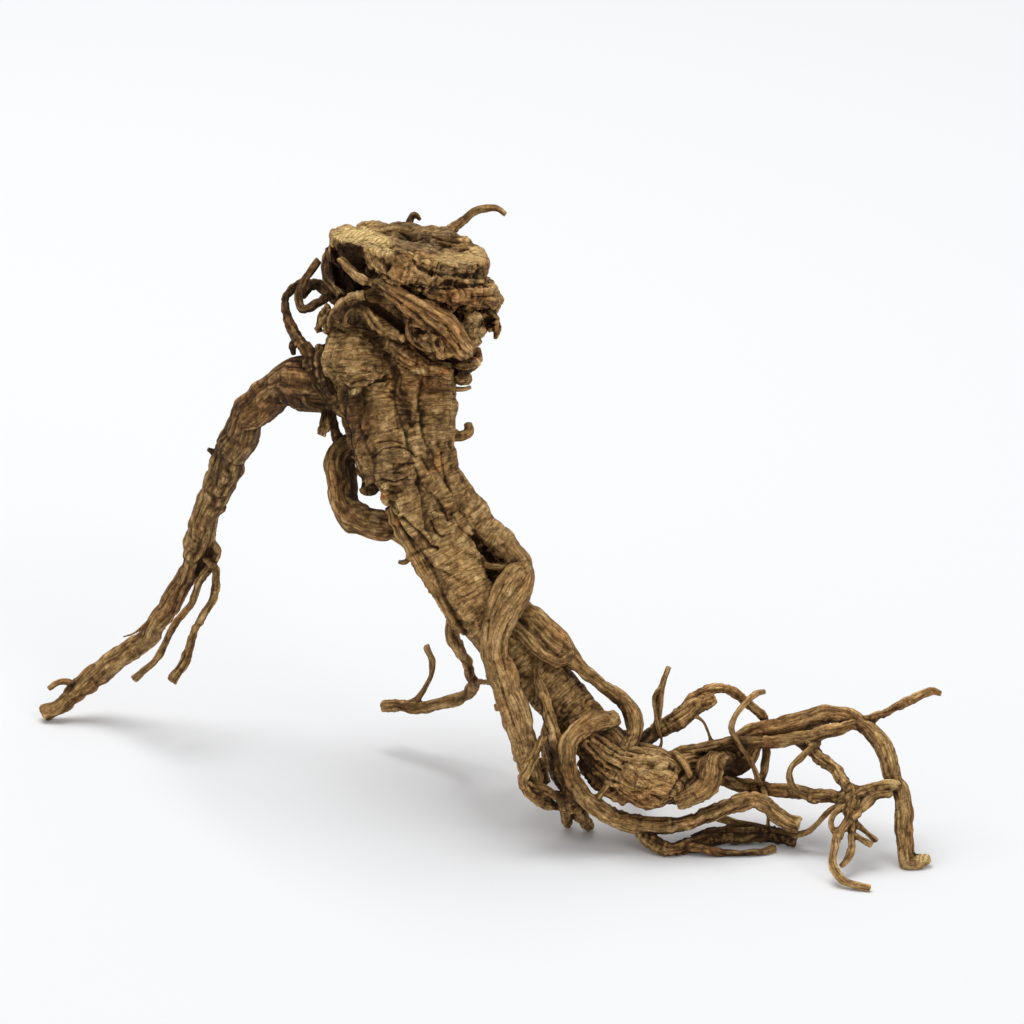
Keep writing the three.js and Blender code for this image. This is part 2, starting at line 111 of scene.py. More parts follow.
# %% Lamps and surroundings
def soft_lamp(name, place, aim, size, watts):
    """A square lamp that looks from its place to what it aims at, in metres."""
    lamp_data = bpy.data.lights.new(name, "AREA")
    lamp_data.shape = "SQUARE"
    lamp_data.size = size
    lamp_data.energy = watts
    lamp = bpy.data.objects.new(name, lamp_data)
    lamp.location = place
    lamp.rotation_euler = (Vector(aim) - Vector(place)).to_track_quat("-Z", "Y").to_euler()
    bpy.context.scene.collection.objects.link(lamp)


soft_lamp("tent_top", (-0.4, 0.5, 2.3), (0, 0, 0), 1.6, 36)
soft_lamp("tent_front", (1.3, -1.7, 1.4), (0, 0, 0.05), 1.2, 10)

world = bpy.data.worlds.new("light_tent")
bpy.context.scene.world = world
world.use_nodes = True
surround = world.node_tree.nodes["Background"]
surround.inputs["Color"].default_value = (0.97, 0.98, 1.0, 1)
surround.inputs["Strength"].default_value = 0.43
bpy.context.scene.view_settings.view_transform = "Standard"

# %% Floor
bpy.ops.mesh.primitive_plane_add(size=8, location=(0, 1.0, -0.0002))
floor = bpy.context.object
floor.name = "floor"
paper = bpy.data.materials.new("white_paper")
paper.use_nodes = True
paper_shader = paper.node_tree.nodes["Principled BSDF"]
paper_shader.inputs["Base Color"].default_value = (0.93, 0.94, 0.95, 1)
paper_shader.inputs["Roughness"].default_value = 0.9
paper_shader.inputs["Specular IOR Level"].default_value = 0.0
floor.data.materials.append(paper)

# %% [markdown]
# # The paint
# The whole plant wears one material, because it is one plant. It is mixed from marks kept on the points:
# the bark is sandy on the ridges, with painted light there, and painted shade turns the furrows umber and
# the crevices nearly black; cut or broken wood is pale. The finest wrinkles are too small for the mesh, so
# the paint draws them as dark lines of painted shade: fibres along each root, and cross folds where the
# mark called folded says that the bark is thick. The same lines also roughen the surface.

# %% A small helper for shader nodes
def add_node(tree, kind, **settings):
    """A new node; a setting named after one of its sockets is either a value or another node's output."""
    node = tree.nodes.new(kind)
    for key, value in settings.items():
        if key != "sockets":
            setattr(node, key, value)
    for socket, value in settings.get("sockets", {}).items():
        if isinstance(value, bpy.types.NodeSocket):
            tree.links.new(value, node.inputs[socket])
        else:
            node.inputs[socket].default_value = value
    return node


def ramp(tree, amount, stops):
    """Turns an amount into a colour; a stop's colour is three numbers, or one for a grey."""
    node = tree.nodes.new("ShaderNodeValToRGB")
    tree.links.new(amount, node.inputs["Fac"])
    while len(node.color_ramp.elements) < len(stops):
        node.color_ramp.elements.new(0.5)
    for element, (place, colour) in zip(node.color_ramp.elements, stops):
        element.position = place
        element.color = (*colour, 1) if not isinstance(colour, float) else (colour, colour, colour, 1)
    return node.outputs["Color"]


def blend(tree, how, amount, first, second):
    """Mixes two colours or outputs by an amount."""
    node = tree.nodes.new("ShaderNodeMix")
    node.data_type = "RGBA"
    node.blend_type = how
    for socket, value in (("Factor", amount), ("A", first), ("B", second)):
        target = [s for s in node.inputs if s.name == socket and s.enabled][0]
        if isinstance(value, bpy.types.NodeSocket):
            tree.links.new(value, target)
        else:
            target.default_value = value if isinstance(value, float) else (*value, 1)
    return [s for s in node.outputs if s.enabled][0]


# %% What the paint reads
bark = bpy.data.materials.new("root_bark")
bark.use_nodes = True
tree = bark.node_tree
skin_shader = tree.nodes["Principled BSDF"]
skin_shader.inputs["Roughness"].default_value = 0.8
skin_shader.inputs["Specular IOR Level"].default_value = 0.25

MARKS = ("grain", "relief", "shade_and_tone", "cut", "rust", "folded", "grey")
marks = {name: add_node(tree, "ShaderNodeAttribute", attribute_name=name) for name in MARKS}
amount = {name: node.outputs["Fac"] for name, node in marks.items()}
place = add_node(tree, "ShaderNodeTexCoord").outputs["Object"]


def grain_noise(scale, detail, roughness):
    """Noise drawn in the grain: the three scales are along the root and its two sides, per millimetre."""
    stretched = add_node(
        tree, "ShaderNodeMapping", sockets={"Vector": marks["grain"].outputs["Vector"], "Scale": scale}
    ).outputs["Vector"]
    return add_node(
        tree, "ShaderNodeTexNoise",
        sockets={"Vector": stretched, "Scale": 1.0, "Detail": detail, "Roughness": roughness},
    ).outputs["Fac"]


def place_noise(scale, detail, roughness):
    """Noise that ignores the grain; the scale is per metre."""
    return add_node(
        tree, "ShaderNodeTexNoise",
        sockets={"Vector": place, "Scale": scale, "Detail": detail, "Roughness": roughness},
    ).outputs["Fac"]


# %% Lines, fibres and crumbs
# a ramp with a dark dip in its middle, where the noise passes a half; in the colour the dip is painted shade
# in the finest creases
DARK_LINE = [(0.40, 1.0), (0.47, 0.62), (0.50, 0.25), (0.53, 0.62), (0.60, 1.0)]
fibre_lines = ramp(tree, grain_noise((0.10, 0.85, 0.85), 3.0, 0.6), DARK_LINE)
fold_lines = ramp(tree, grain_noise((0.80, 0.13, 0.13), 4.0, 0.6), DARK_LINE)
fibre = blend(
    tree, "MIX", amount["folded"],
    grain_noise((0.16, 2.1, 2.1), 5.0, 0.65), grain_noise((2.0, 0.22, 0.22), 5.0, 0.65),
)
speckle = place_noise(1300.0, 4.0, 0.75)
crumb = place_noise(560.0, 4.0, 0.65)
slow = place_noise(75.0, 3.0, 0.55)
lines = blend(tree, "MIX", amount["folded"], fibre_lines, fold_lines)

# %% Colour
def times(colour, amount, stops):
    """The colour, multiplied by what a ramp makes of an amount."""
    return blend(tree, "MULTIPLY", 1.0, colour, ramp(tree, amount, stops))


# the bark's own sandy brown from the relief mark, with painted shade in the furrows, folds and cracks and
# painted light on the swellings
bark_colour_and_furrow_shade = ramp(tree, amount["relief"], [
    (0.05, (0.085, 0.040, 0.011)),
    (0.40, (0.235, 0.130, 0.043)),
    (0.70, (0.420, 0.252, 0.096)),
    (1.00, (0.610, 0.410, 0.190)),
])
# painted shade: the finest wrinkles darken the bark along their lines
crease_shaded = times(bark_colour_and_furrow_shade, lines, [
    (0.20, (0.38, 0.31, 0.23)), (0.65, (0.90, 0.87, 0.82)), (1.0, (1.12, 1.12, 1.12)),
])
streaked = times(crease_shaded, fibre, [
    (0.34, (0.50, 0.45, 0.39)), (0.50, (1.0, 1.0, 1.0)), (0.66, (1.34, 1.32, 1.28)),
])
crumbled = times(streaked, crumb, [
    (0.32, (0.66, 0.59, 0.52)), (0.46, (1.0, 1.0, 1.0)), (0.68, (1.18, 1.18, 1.16)),
])
dusty = times(crumbled, speckle, [(0.34, 0.60), (0.66, 1.27)])
tinted = times(dusty, slow, [
    (0.30, (1.06, 0.90, 0.80)), (0.50, (1.0, 1.0, 1.0)), (0.72, (1.10, 1.12, 1.12)),
])
rust = blend(tree, "MULTIPLY", 1.0, tinted, (1.20, 0.78, 0.50))
rusty = blend(tree, "MIX", amount["rust"], tinted, rust)
weathered = blend(tree, "MULTIPLY", 1.0, rusty, (0.46, 0.50, 0.58))
greyed = blend(tree, "MIX", amount["grey"], rusty, weathered)

# %% Cut wood and painted shade
curls = add_node(
    tree, "ShaderNodeTexWave", wave_type="RINGS", rings_direction="Z",
    sockets={"Vector": place, "Scale": 300.0, "Distortion": 7.0, "Detail": 3.0, "Detail Scale": 1.2},
).outputs["Fac"]
pale = ramp(tree, curls, [
    (0.10, (0.50, 0.31, 0.105)), (0.5, (0.76, 0.53, 0.20)), (0.9, (0.90, 0.67, 0.30)),
])
wood = times(pale, speckle, [(0.32, 0.6), (0.6, 1.1)])
with_cuts = blend(tree, "MIX", amount["cut"], greyed, wood)
# painted shade: the shade and tone mark turns hollows, gaps between roots and undersides nearly black, and
# painted light makes open bark and tops lighter
shaded = times(with_cuts, amount["shade_and_tone"], [
    (0.10, 1.5), (0.50, 1.0), (0.72, (0.46, 0.42, 0.37)), (0.95, (0.16, 0.12, 0.08)),
])
tree.links.new(shaded, skin_shader.inputs["Base Color"])

# %% Roughness
crumbs = add_node(tree, "ShaderNodeMath", operation="MULTIPLY_ADD", sockets={0: crumb, 1: 1.6, 2: fibre})
grit = add_node(
    tree, "ShaderNodeMath", operation="MULTIPLY_ADD",
    sockets={0: speckle, 1: 0.6, 2: crumbs.outputs["Value"]},
)
height = add_node(
    tree, "ShaderNodeMath", operation="MULTIPLY_ADD",
    sockets={0: lines, 1: 0.6, 2: grit.outputs["Value"]},
)
rough_skin = add_node(
    tree, "ShaderNodeBump", sockets={"Height": height.outputs["Value"], "Strength": 1.0, "Distance": 0.0005}
)
tree.links.new(rough_skin.outputs["Normal"], skin_shader.inputs["Normal"])
print("root_bark has", len(tree.nodes), "nodes")

# %% [markdown]
# # From a layout to a smooth line
# Each root is a short list of stations. A Catmull-Rom line passes through all of them without corners, and
# the thickness is blended in the same way. The line is then cut into even steps, and a frame that never
# twists is carried along it: those two side directions later tell on which side of the root a point lies.

# %% Smooth lines
STEP = 0.6  # millimetres between the places on a line
FOLLOW = 0.05  # how finely the curve between two stations is followed
STOUT = 8  # a line whose radius reaches this, in millimetres, keeps straight and even
KINKS = (0.13, 0.60)  # how many for each millimetre of line, and how far they reach
BENDS = (0.33, 0.20)
KNOBS = (0.21, 0.16)  # the same for the swellings, whose reach is a share of the girth
ASIDE = (0.31, 0.87, 0.38)  # a direction that no root starts in


def smooth_line(stations):
    """Even places along the line through the stations, in millimetres, with girths and directions."""
    knots = [np.array([*(stand(x, up, behind) / MM), girth]) for x, up, behind, girth in stations]
    knots = [2 * knots[0] - knots[1], *knots, 2 * knots[-1] - knots[-2]]
    rows = []
    for a, b, c, d in zip(knots, knots[1:], knots[2:], knots[3:]):
        for t in np.arange(0, 1, FOLLOW):
            rows.append(
                b + 0.5 * t * (c - a)
                + t * t * (a - 2.5 * b + 2 * c - 0.5 * d)
                + t ** 3 * (1.5 * b - 1.5 * c + 0.5 * d - 0.5 * a)
            )
    rows = np.array([*rows, knots[-2]])
    run = np.concatenate([[0], np.cumsum(np.linalg.norm(np.diff(rows[:, :3], axis=0), axis=1))])
    even = np.linspace(0, run[-1], max(3, int(run[-1] / STEP) + 1))
    line = np.stack([np.interp(even, run, rows[:, k]) for k in range(4)], axis=1)
    if line[:, 3].max() < STOUT:
        kinks, bends = (
            reach * np.array([noise.noise_vector(Vector(spot)) for spot in line[:, :3] * often])
            for often, reach in (KINKS, BENDS)
        )
        line[:, :3] += (kinks + bends) * line[:, 3:].clip(0.4, 1.4)
        knobs = [noise.noise(Vector(spot)) for spot in line[:, :3] * KNOBS[0]]
        line[:, 3] *= 1 + KNOBS[1] * np.array(knobs)
    ahead = np.gradient(line[:, :3], axis=0)
    ahead /= np.linalg.norm(ahead, axis=1)[:, None]
    side = np.empty_like(ahead)
    last = np.cross(ahead[0], ASIDE)
    for k, tangent in enumerate(ahead):
        last = last - tangent * last.dot(tangent)
        last = last / np.linalg.norm(last)
        side[k] = last
    return {"points": line[:, :3], "girth": line[:, 3], "ahead": ahead, "side": side, "run": even}


# %% [markdown]
# # From lines to one skin
# A curve object with a bevel is the quickest way to a tube whose thickness changes along its length. Many
# tubes that only poke into each other still look like a bundle of sausages, so a voxel remesh melts them
# into one closed skin, as a root grows. Its cells are just over a third of a millimetre, which is fine
# enough for a wrinkle. Swellings are eggs, and the cut face is the end of a short cone.

# %% Tubes and the remesh
def tubes(name, lines):
    """A curve object with one round tube for each line."""
    curve = bpy.data.curves.new(name + "_tubes", "CURVE")
    curve.dimensions = "3D"
    curve.bevel_depth = MM
    curve.bevel_resolution = 10
    curve.use_fill_caps = True
    for line in lines:
        spline = curve.splines.new("POLY")
        spline.points.add(len(line["points"]) - 1)
        flat = np.concatenate([line["points"] * MM, np.ones((len(line["points"]), 1))], axis=1)
        spline.points.foreach_set("co", flat.astype(np.float32).ravel())
        spline.points.foreach_set("radius", line["girth"].astype(np.float32))
    return bpy.data.objects.new(name + "_tubes", curve)


def lump(shell, across, up, behind, wide, high, deep):
    """Adds an egg-shaped swelling to a bmesh; its half sizes are in millimetres."""
    made = bmesh.ops.create_uvsphere(shell, u_segments=32, v_segments=20, radius=MM)["verts"]
    bmesh.ops.scale(shell, vec=(wide, deep, high), verts=made)
    bmesh.ops.translate(shell, vec=stand(across, up, behind), verts=made)


def plate(shell, across, up, behind, lean, low_radius, top_radius, thick):
    """Adds a flat cut face to a bmesh: a short cone that ends in it; lean is its normal on the board."""
    normal = (stand(*lean) - stand(0, 0, 0)).normalized()
    turn = normal.to_track_quat("Z", "Y").to_matrix().to_4x4()
    made = bmesh.ops.create_cone(
        shell, cap_ends=True, segments=64, radius1=low_radius * MM, radius2=top_radius * MM,
        depth=thick * MM, matrix=turn,
    )["verts"]
    bmesh.ops.translate(shell, vec=stand(across, up, behind) - normal * thick * MM / 2, verts=made)


def as_mesh(thing):
    """What Blender makes of an object once its curves and modifiers are worked out."""
    worked_out = thing.evaluated_get(bpy.context.evaluated_depsgraph_get())
    return bpy.data.meshes.new_from_object(worked_out)


def melt(name, lines, lumps, plates, cell):
    """One closed skin round all the tubes, lumps and plates, as a mesh."""
    bundle = tubes(name, lines)
    bpy.context.scene.collection.objects.link(bundle)
    shell = bmesh.new()
    shell.from_mesh(as_mesh(bundle))
    bpy.data.objects.remove(bundle)
    for egg in lumps:
        lump(shell, *egg)
    for flat in plates:
        plate(shell, *flat)
    rough = bpy.data.meshes.new(name)
    shell.to_mesh(rough)
    shell.free()
    piece = bpy.data.objects.new(name, rough)
    bpy.context.scene.collection.objects.link(piece)
    remesh = piece.modifiers.new("melt", "REMESH")
    remesh.mode = "VOXEL"
    remesh.voxel_size = cell * MM
    skin = as_mesh(piece)
    piece.modifiers.clear()
    piece.data = skin
    bpy.data.meshes.remove(rough)
    skin.name = name
    return piece


# %% [markdown]
# # Moving many points at once
# Wrinkling means moving a hundred thousand points by a little. Blender hands over all of them in one
# array, and an average over each point's neighbours gives two things: a gentle smoothing, and a measure of
# how deep in a crevice a point lies, which later darkens the bark there as painted shade.

# %% Points, neighbours and normals
def points_of(mesh):
    """The mesh's points, in millimetres."""
    flat = np.empty(len(mesh.vertices) * 3, np.float32)
    mesh.vertices.foreach_get("co", flat)
    return flat.reshape(-1, 3).astype(float) / MM


def put_points(mesh, points):
    mesh.vertices.foreach_set("co", (points * MM).astype(np.float32).ravel())
    mesh.update()


def normals_of(mesh):
    flat = np.empty(len(mesh.vertices) * 3, np.float32)
    mesh.vertex_normals.foreach_get("vector", flat)
    return flat.reshape(-1, 3).astype(float)


def neighbours(mesh):
    """Every edge twice, once from each end: the points it starts from, and the points it leads to."""
    pairs = np.empty(len(mesh.edges) * 2, np.int32)
    mesh.edges.foreach_get("vertices", pairs)
    a, b = pairs.reshape(-1, 2).T
    return np.concatenate([a, b]), np.concatenate([b, a])


def averaged(values, links, rounds):
    """Each row's mean with its neighbours' rows, taken again and again."""
    here, there = links
    count = np.bincount(here, minlength=len(values)).clip(1)
    for _ in range(rounds):
        sums = [np.bincount(here, weights=column[there], minlength=len(values)) for column in values.T]
        values = 0.5 * values + 0.5 * np.stack(sums, axis=1) / count[:, None]
    return values


# %% [markdown]
# # The grain
# Bark wrinkles along or across its own root, never along the axes of the room. So each point of the skin
# looks for the root whose surface is nearest, and notes how far along it lies and on which side. These
# three numbers are the grain: the noise of the wrinkles and of the fibres is drawn in them.

# %% Nearest root
BATCH = 4000  # points at a time, so that the table of distances stays small
APART = 53.0  # shifts each root's grain along, so that they don't all begin with the same bark


def nearest_bark(points, spots, girth):
    """For each point: the number of the spot whose bark is nearest, and how far away that bark is."""
    nearest = np.empty(len(points), int)
    away = np.empty(len(points))
    reach = (spots ** 2).sum(1).astype(np.float32)
    for start in range(0, len(points), BATCH):
        part = points[start:start + BATCH]
        from_middle = (part ** 2).sum(1)[:, None].astype(np.float32)
        square = from_middle + reach - 2 * (part @ spots.T).astype(np.float32)
        gap = np.sqrt(square.clip(0)) - girth.astype(np.float32)
        nearest[start:start + BATCH] = gap.argmin(1)
        away[start:start + BATCH] = gap.min(1)
    return nearest, away


def grain_of(points, lines):
    """For each point: its grain, the girth there, and the number of its line."""
    spots = np.concatenate([line["points"] for line in lines])
    girth = np.concatenate([line["girth"] for line in lines])
    ahead = np.concatenate([line["ahead"] for line in lines])
    side = np.concatenate([line["side"] for line in lines])
    run = np.concatenate([line["run"] for line in lines])
    owner = np.concatenate([np.full(len(line["run"]), k) for k, line in enumerate(lines)])
    nearest = nearest_bark(points, spots, girth)[0]
    off = points - spots[nearest]
    forward = (off * ahead[nearest]).sum(1)
    over = np.cross(ahead[nearest], side[nearest])
    grain = np.stack([
        run[nearest] + forward + APART * owner[nearest],
        (off * side[nearest]).sum(1),
        (off * over).sum(1),
    ], axis=1)
    return grain, girth[nearest], owner[nearest]


NOISE_GAIN = 1.6  # brings the noise, which seldom passes 0.6, up to about 1


def lumpy(grain, along, around, shift):
    """Noise from about -1 to 1, whose lumps are this long and this wide, in millimetres.

    Each shift takes another part of the noise, so that two uses of it don't look alike.
    """
    stretched = grain / np.stack([along, around, around], axis=-1) + shift
    return np.array([noise.noise(spot) for spot in stretched.tolist()]) * NOISE_GAIN


def creases(value, width):
    """1 in the narrow lines where the noise passes zero, and 0 away from them."""
    return (1 - np.abs(value) / width).clip(0, 1)


# %% [markdown]
# # Wrinkled bark
# A drying root shrinks most round its girth, which leaves furrows along it, and a thick one also folds
# across, like an elephant's knee. Each root therefore has a mix of two depths: furrows along the grain and
# folds across it. Both come from the same trick, a dark line wherever stretched noise passes zero.

# %% Relief
BARK = {
    # furrow depth and width, fold depth and pitch, unevenness, all in millimetres; then how folded it is
    "trunk": (0.12, 4.5, 0.26, 1.5, 0.52, 0.92),
    "fibre": (0.38, 2.0, 0.12, 2.0, 0.55, 0.08),
    "crumbly": (0.15, 3.0, 0.04, 3.0, 0.90, 0.10),
    "smooth": (0.14, 3.4, 0.10, 2.6, 0.38, 0.14),
    "limb": (0.30, 2.2, 0.14, 2.2, 0.40, 0.08),
    "rootlet": (0.26, 1.6, 0.08, 2.0, 0.34, 0.04),
}


def relief(grain, girth, kind):
    """How far each point stands out of the smooth skin, in millimetres, and how much it lies in a line, as
    painted shade.
    """
    furrow, furrow_wide, fold, fold_pitch, uneven = (kind[:, k] for k in range(5))
    slim = np.minimum(1, girth / 1.5)
    # folds and furrows that run dead straight look drawn, so the grain is bent for the one and turned
    # for the other
    bent = grain.copy()
    bent[:, 0] += 1.5 * lumpy(grain, 9, 6, 3.1)
    turned = grain.copy()
    turned[:, 1] += 0.5 * furrow_wide * lumpy(grain, 7, 7, 11.7)
    furrows = creases(lumpy(turned, 16 * furrow_wide, furrow_wide, 5.3), 0.40)
    patchy = (0.6 + 0.8 * lumpy(grain, 5, 4, 61.0)).clip(0, 1.3)
    folds = creases(lumpy(bent, fold_pitch, 3.4 * fold_pitch, 7.9), 0.42) * patchy
    swell = lumpy(grain, 3.2 * girth.clip(1.2, 4), 1.2 * girth.clip(1.2, 4), 17.1)
    broad = lumpy(turned, 7 * furrow_wide, 1.4 * furrow_wide, 41.0)
    nubs = lumpy(grain, 2.6, 1.7, 23.7)
    cracks = creases(lumpy(turned, 4.5, 3.0, 71.3), 0.28) * (0.5 + nubs).clip(0, 1)
    crack_depth = 0.22 + 0.12 * (girth > 4)
    high = uneven * slim * (0.9 * swell + 0.8 * broad + 0.45 * nubs)
    high = high - slim * (furrow * furrows + fold * folds + crack_depth * cracks)
    # the second number is painted shade: darker in furrows, folds and cracks, and lighter on broad swellings
    # and nubs, as painted light
    shade = 0.8 * furrows * (furrow / 0.4).clip(0, 1) + 0.7 * folds * (fold / 0.3).clip(0, 1)
    return high, shade + 0.5 * cracks - 0.22 * broad - 0.2 * nubs


# %% [markdown]
# Cracks and welts, drawn one by one
# Noise makes bark, but not this root. The cracks, folds and knots that make it this one are drawn on the
# board as short lines, and pressed into whatever skin faces forward there. A negative depth raises a
# welt. How deep a point was pressed is also kept, because the paint darkens a crack as painted shade.

# %% Drawn lines
FORWARD = np.array((0, -math.cos(LEAN), math.sin(LEAN)))
FAR_AWAY = 99.0
LINE_WIDTH, LINE_DEPTH = 0.9, 0.7  # scale every drawn line at once


def facing(normals, least, soft):
    """From 0 to 1, how much each point's skin faces forward, towards the camera."""
    return ((normals @ FORWARD - least) / soft).clip(0, 1)


def frayed(points, pitch):
    """A little noise that frays the edges of what is drawn on the skin."""
    return 0.35 * np.array([noise.noise(Vector(spot)) for spot in (points * pitch).tolist()])


def near_line(flat, stations):
    """How far each flat point is from a line through the stations."""
    gap = np.full(len(flat), FAR_AWAY)
    for a, b in zip(np.array(stations, float), np.array(stations, float)[1:]):
        along = ((flat - a) @ (b - a) / ((b - a) @ (b - a))).clip(0, 1)
        gap = np.minimum(gap, np.linalg.norm(flat - a - along[:, None] * (b - a), axis=1))
    return gap


def press_lines(points, normals, drawn):
    """Presses the drawn lines into the skin that faces forward, and tells how deep each point went."""
    sunk = np.zeros(len(points))
    if not drawn:
        return points, sunk
    flat = seen(points)
    faces = facing(normals, 0.05, 0.35)
    ragged = 1 + frayed(points, 0.9)
    for width, depth, stations in drawn:
        width, depth = LINE_WIDTH * width, LINE_DEPTH * depth
        lo, hi = np.min(stations, axis=0) - width * 1.5, np.max(stations, axis=0) + width * 1.5
        close = np.flatnonzero(((flat > lo) & (flat < hi)).all(axis=1) & (faces > 0))
        if len(close):
            off = near_line(flat[close], stations) / (width * ragged[close])
            sunk[close] += depth * (1 - off ** 2).clip(0, 1) ** 1.5 * faces[close]
    return points - normals * sunk[:, None], sunk


def carve(points, normals, hollows):
    """Moves what is seen inside each outline straight back, which leaves a hollow under a sharp rim."""
    for deep, edge, outline in hollows:
        flat = seen(points)
        closed = np.array([*outline, outline[0]], float)
        inside = np.zeros(len(flat), bool)
        for a, b in zip(closed, closed[1:]):
            # a point is inside when a line from it to the right crosses the outline an odd number of times
            level = (a[1] > flat[:, 1]) != (b[1] > flat[:, 1])
            with np.errstate(divide="ignore", invalid="ignore"):
                meets = a[0] + (flat[:, 1] - a[1]) / (b[1] - a[1]) * (b[0] - a[0])
            inside ^= level & (flat[:, 0] < meets)
        moved = np.flatnonzero(inside & (normals @ FORWARD > -0.1))
        push = (near_line(flat[moved], closed) / edge).clip(0, 1) * deep
        points[moved] -= push[:, None] * FORWARD
    return points


# %% [markdown]
# # Growing a piece
# Everything meets here. A piece is a handful of roots, each with one kind of bark. They are melted
# together, hollowed, dented and wrinkled, and the drawn cracks are pressed in. Nothing reaches below the
# ground. The marks that the paint reads are kept on the points.

# %% Dents, patches, tones and painted shade
def dent(points, normals, across, up, behind, size):
    """Presses a round hollow into the skin."""
    middle = np.array(stand(across, up, behind)) / MM
    near = np.linalg.norm(points - middle, axis=1) < 1.3 * size
    if not near.any():
        return points
    inward = -normals[near].mean(axis=0)
    inward /= np.linalg.norm(inward)
    off = points[near] - middle
    depth = off @ inward
    beside = np.sqrt((np.linalg.norm(off, axis=1) ** 2 - depth ** 2).clip(0))
    push = (np.sqrt((size ** 2 - beside ** 2).clip(0)) - depth).clip(0, 2 * size)
    points[near] += push[:, None] * inward
    return points


def off_oval(flat, across, up, wide, high):
    """How far each flat point is from the middle of an oval; 1 is its rim."""
    return np.hypot((flat[:, 0] - across) / wide, (flat[:, 1] - up) / high)


def patches(points, normals, ovals):
    """From 0 to 1, how much each point that faces forward lies within one of the oval patches."""
    shade = np.zeros(len(points))
    if not ovals:
        return shade
    flat = seen(points)
    faces = facing(normals, -0.1, 0.3)
    ragged = frayed(points, 0.7)
    for *oval, strength in ovals:
        away = off_oval(flat, *oval) + ragged
        shade = np.maximum(shade, strength * faces * (2.2 - 2 * away).clip(0, 1))
    return shade


def tone_and_shade_of(points, ovals):
    """How much darker the bark is in broad soft ovals, on all its sides, partly as painted shade and partly
    as its own tone; below zero it is lighter.
    """
    flat = seen(points)
    shade = np.zeros(len(points))
    for *oval, strength in ovals:
        shade += strength * (1.8 - 1.4 * off_oval(flat, *oval)).clip(0, 1)
    return shade


def mark(mesh, name, values):
    """Keeps one number or three numbers on every point, for the paint to read."""
    kind = "FLOAT_VECTOR" if values.ndim == 2 else "FLOAT"
    layer = mesh.attributes.new(name, kind, "POINT")
    layer.data.foreach_set("vector" if values.ndim == 2 else "value", values.astype(np.float32).ravel())


# %% Grow
# how much darker bark gets as painted shade in a narrow hollow, a wide one or a pressed line, all for each
# millimetre; how much darker on thin roots; how much darker on the underside, as painted shade; and how
# much lighter on top, as painted light
NARROW_SHADE, WIDE_SHADE, PRESSED_SHADE, THIN, UNDERSIDE_SHADE, TOP_LIGHT = 1.3, 0.28, 0.08, 0.09, 0.13, 0.05
GROWN = []  # each piece with the lines it grew along


def grow(
    name, roots, cell, lumps=(), plates=(), hollows=(), dents=(), drawn=(),
    cut=(), rust=(), grey=(), painted_shade=(), tones_and_shade=(),
):
    """A piece from (bark, stations) pairs: melted, wrinkled and marked for the paint."""
    lines = [smooth_line(stations) for _, stations in roots]
    piece = melt(name, lines, lumps, plates, cell)
    mesh = piece.data
    links = neighbours(mesh)
    points = averaged(points_of(mesh), links, 2)
    put_points(mesh, points)
    if hollows:
        points = averaged(carve(points, normals_of(mesh), hollows), links, 1)
        put_points(mesh, points)
    for spot in dents:
        points = dent(points, normals_of(mesh), *spot)
        put_points(mesh, points)
    grain, girth, owner = grain_of(points, lines)
    kind = np.array([BARK[name] for name, _ in roots])[owner]
    high, shade = relief(grain, girth, kind)
    sawn = patches(points, normals_of(mesh), cut)
    high = averaged(high[:, None], links, 1)[:, 0] * (1 - 0.75 * sawn)
    shade = shade * (1 - 0.8 * sawn)
    points = points + normals_of(mesh) * high[:, None]
    put_points(mesh, points)
    points, sunk = press_lines(points, normals_of(mesh), drawn)
    points[:, 2] = points[:, 2].clip(0)
    put_points(mesh, points)
    normals = normals_of(mesh)
    # painted shade in hollows, pressed cracks and on the underside, and painted light on top, go into the
    # shade and tone mark with the tones
    narrow_hollow, wide_hollow = (
        ((averaged(points, links, rounds) - points) * normals).sum(1) for rounds in (6, 60)
    )
    shade_and_tone_sum = 0.5 + NARROW_SHADE * narrow_hollow + WIDE_SHADE * wide_hollow + PRESSED_SHADE * sunk.clip(-0.3, 1.5)
    shade_and_tone_sum += tone_and_shade_of(points, tones_and_shade) + THIN * (1.4 - girth / 2.2).clip(0, 1)
    shade_and_tone_sum += UNDERSIDE_SHADE * (-normals[:, 2]).clip(0, 1) - TOP_LIGHT * normals[:, 2].clip(0, 1)
    mark(mesh, "grain", grain)
    # the relief mark is painted shade in furrows, folds and cracks, and painted light on swellings
    mark(mesh, "relief", (0.80 - 0.5 * shade).clip(0, 1))
    # the dark ovals are painted shade in holes, slots and deep gaps
    mark(mesh, "shade_and_tone", np.maximum(shade_and_tone_sum, patches(points, normals, painted_shade)).clip(0, 1))
    mark(mesh, "folded", averaged(kind[:, 5:], links, 8)[:, 0])
    mark(mesh, "cut", patches(points, normals, cut))
    mark(mesh, "rust", patches(points, normals, rust))
    mark(mesh, "grey", patches(points, normals, grey))
    mesh.shade_smooth()
    mesh.materials.append(bark)
    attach(piece, "root")
    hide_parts("valerian_root")
    print(name, "has", len(mesh.polygons), "faces and", len(roots), "roots")
    GROWN.append((piece, lines))


# %% [markdown]
# # The crown
# The crown is a stout cut stump. Its top was sliced off aslant and is pale on the left; under the left of
# that rim the bark has fallen away and left a dark hollow. Bands of old leaf bases wrap round it, and a
# shoulder bulges out above the side root.

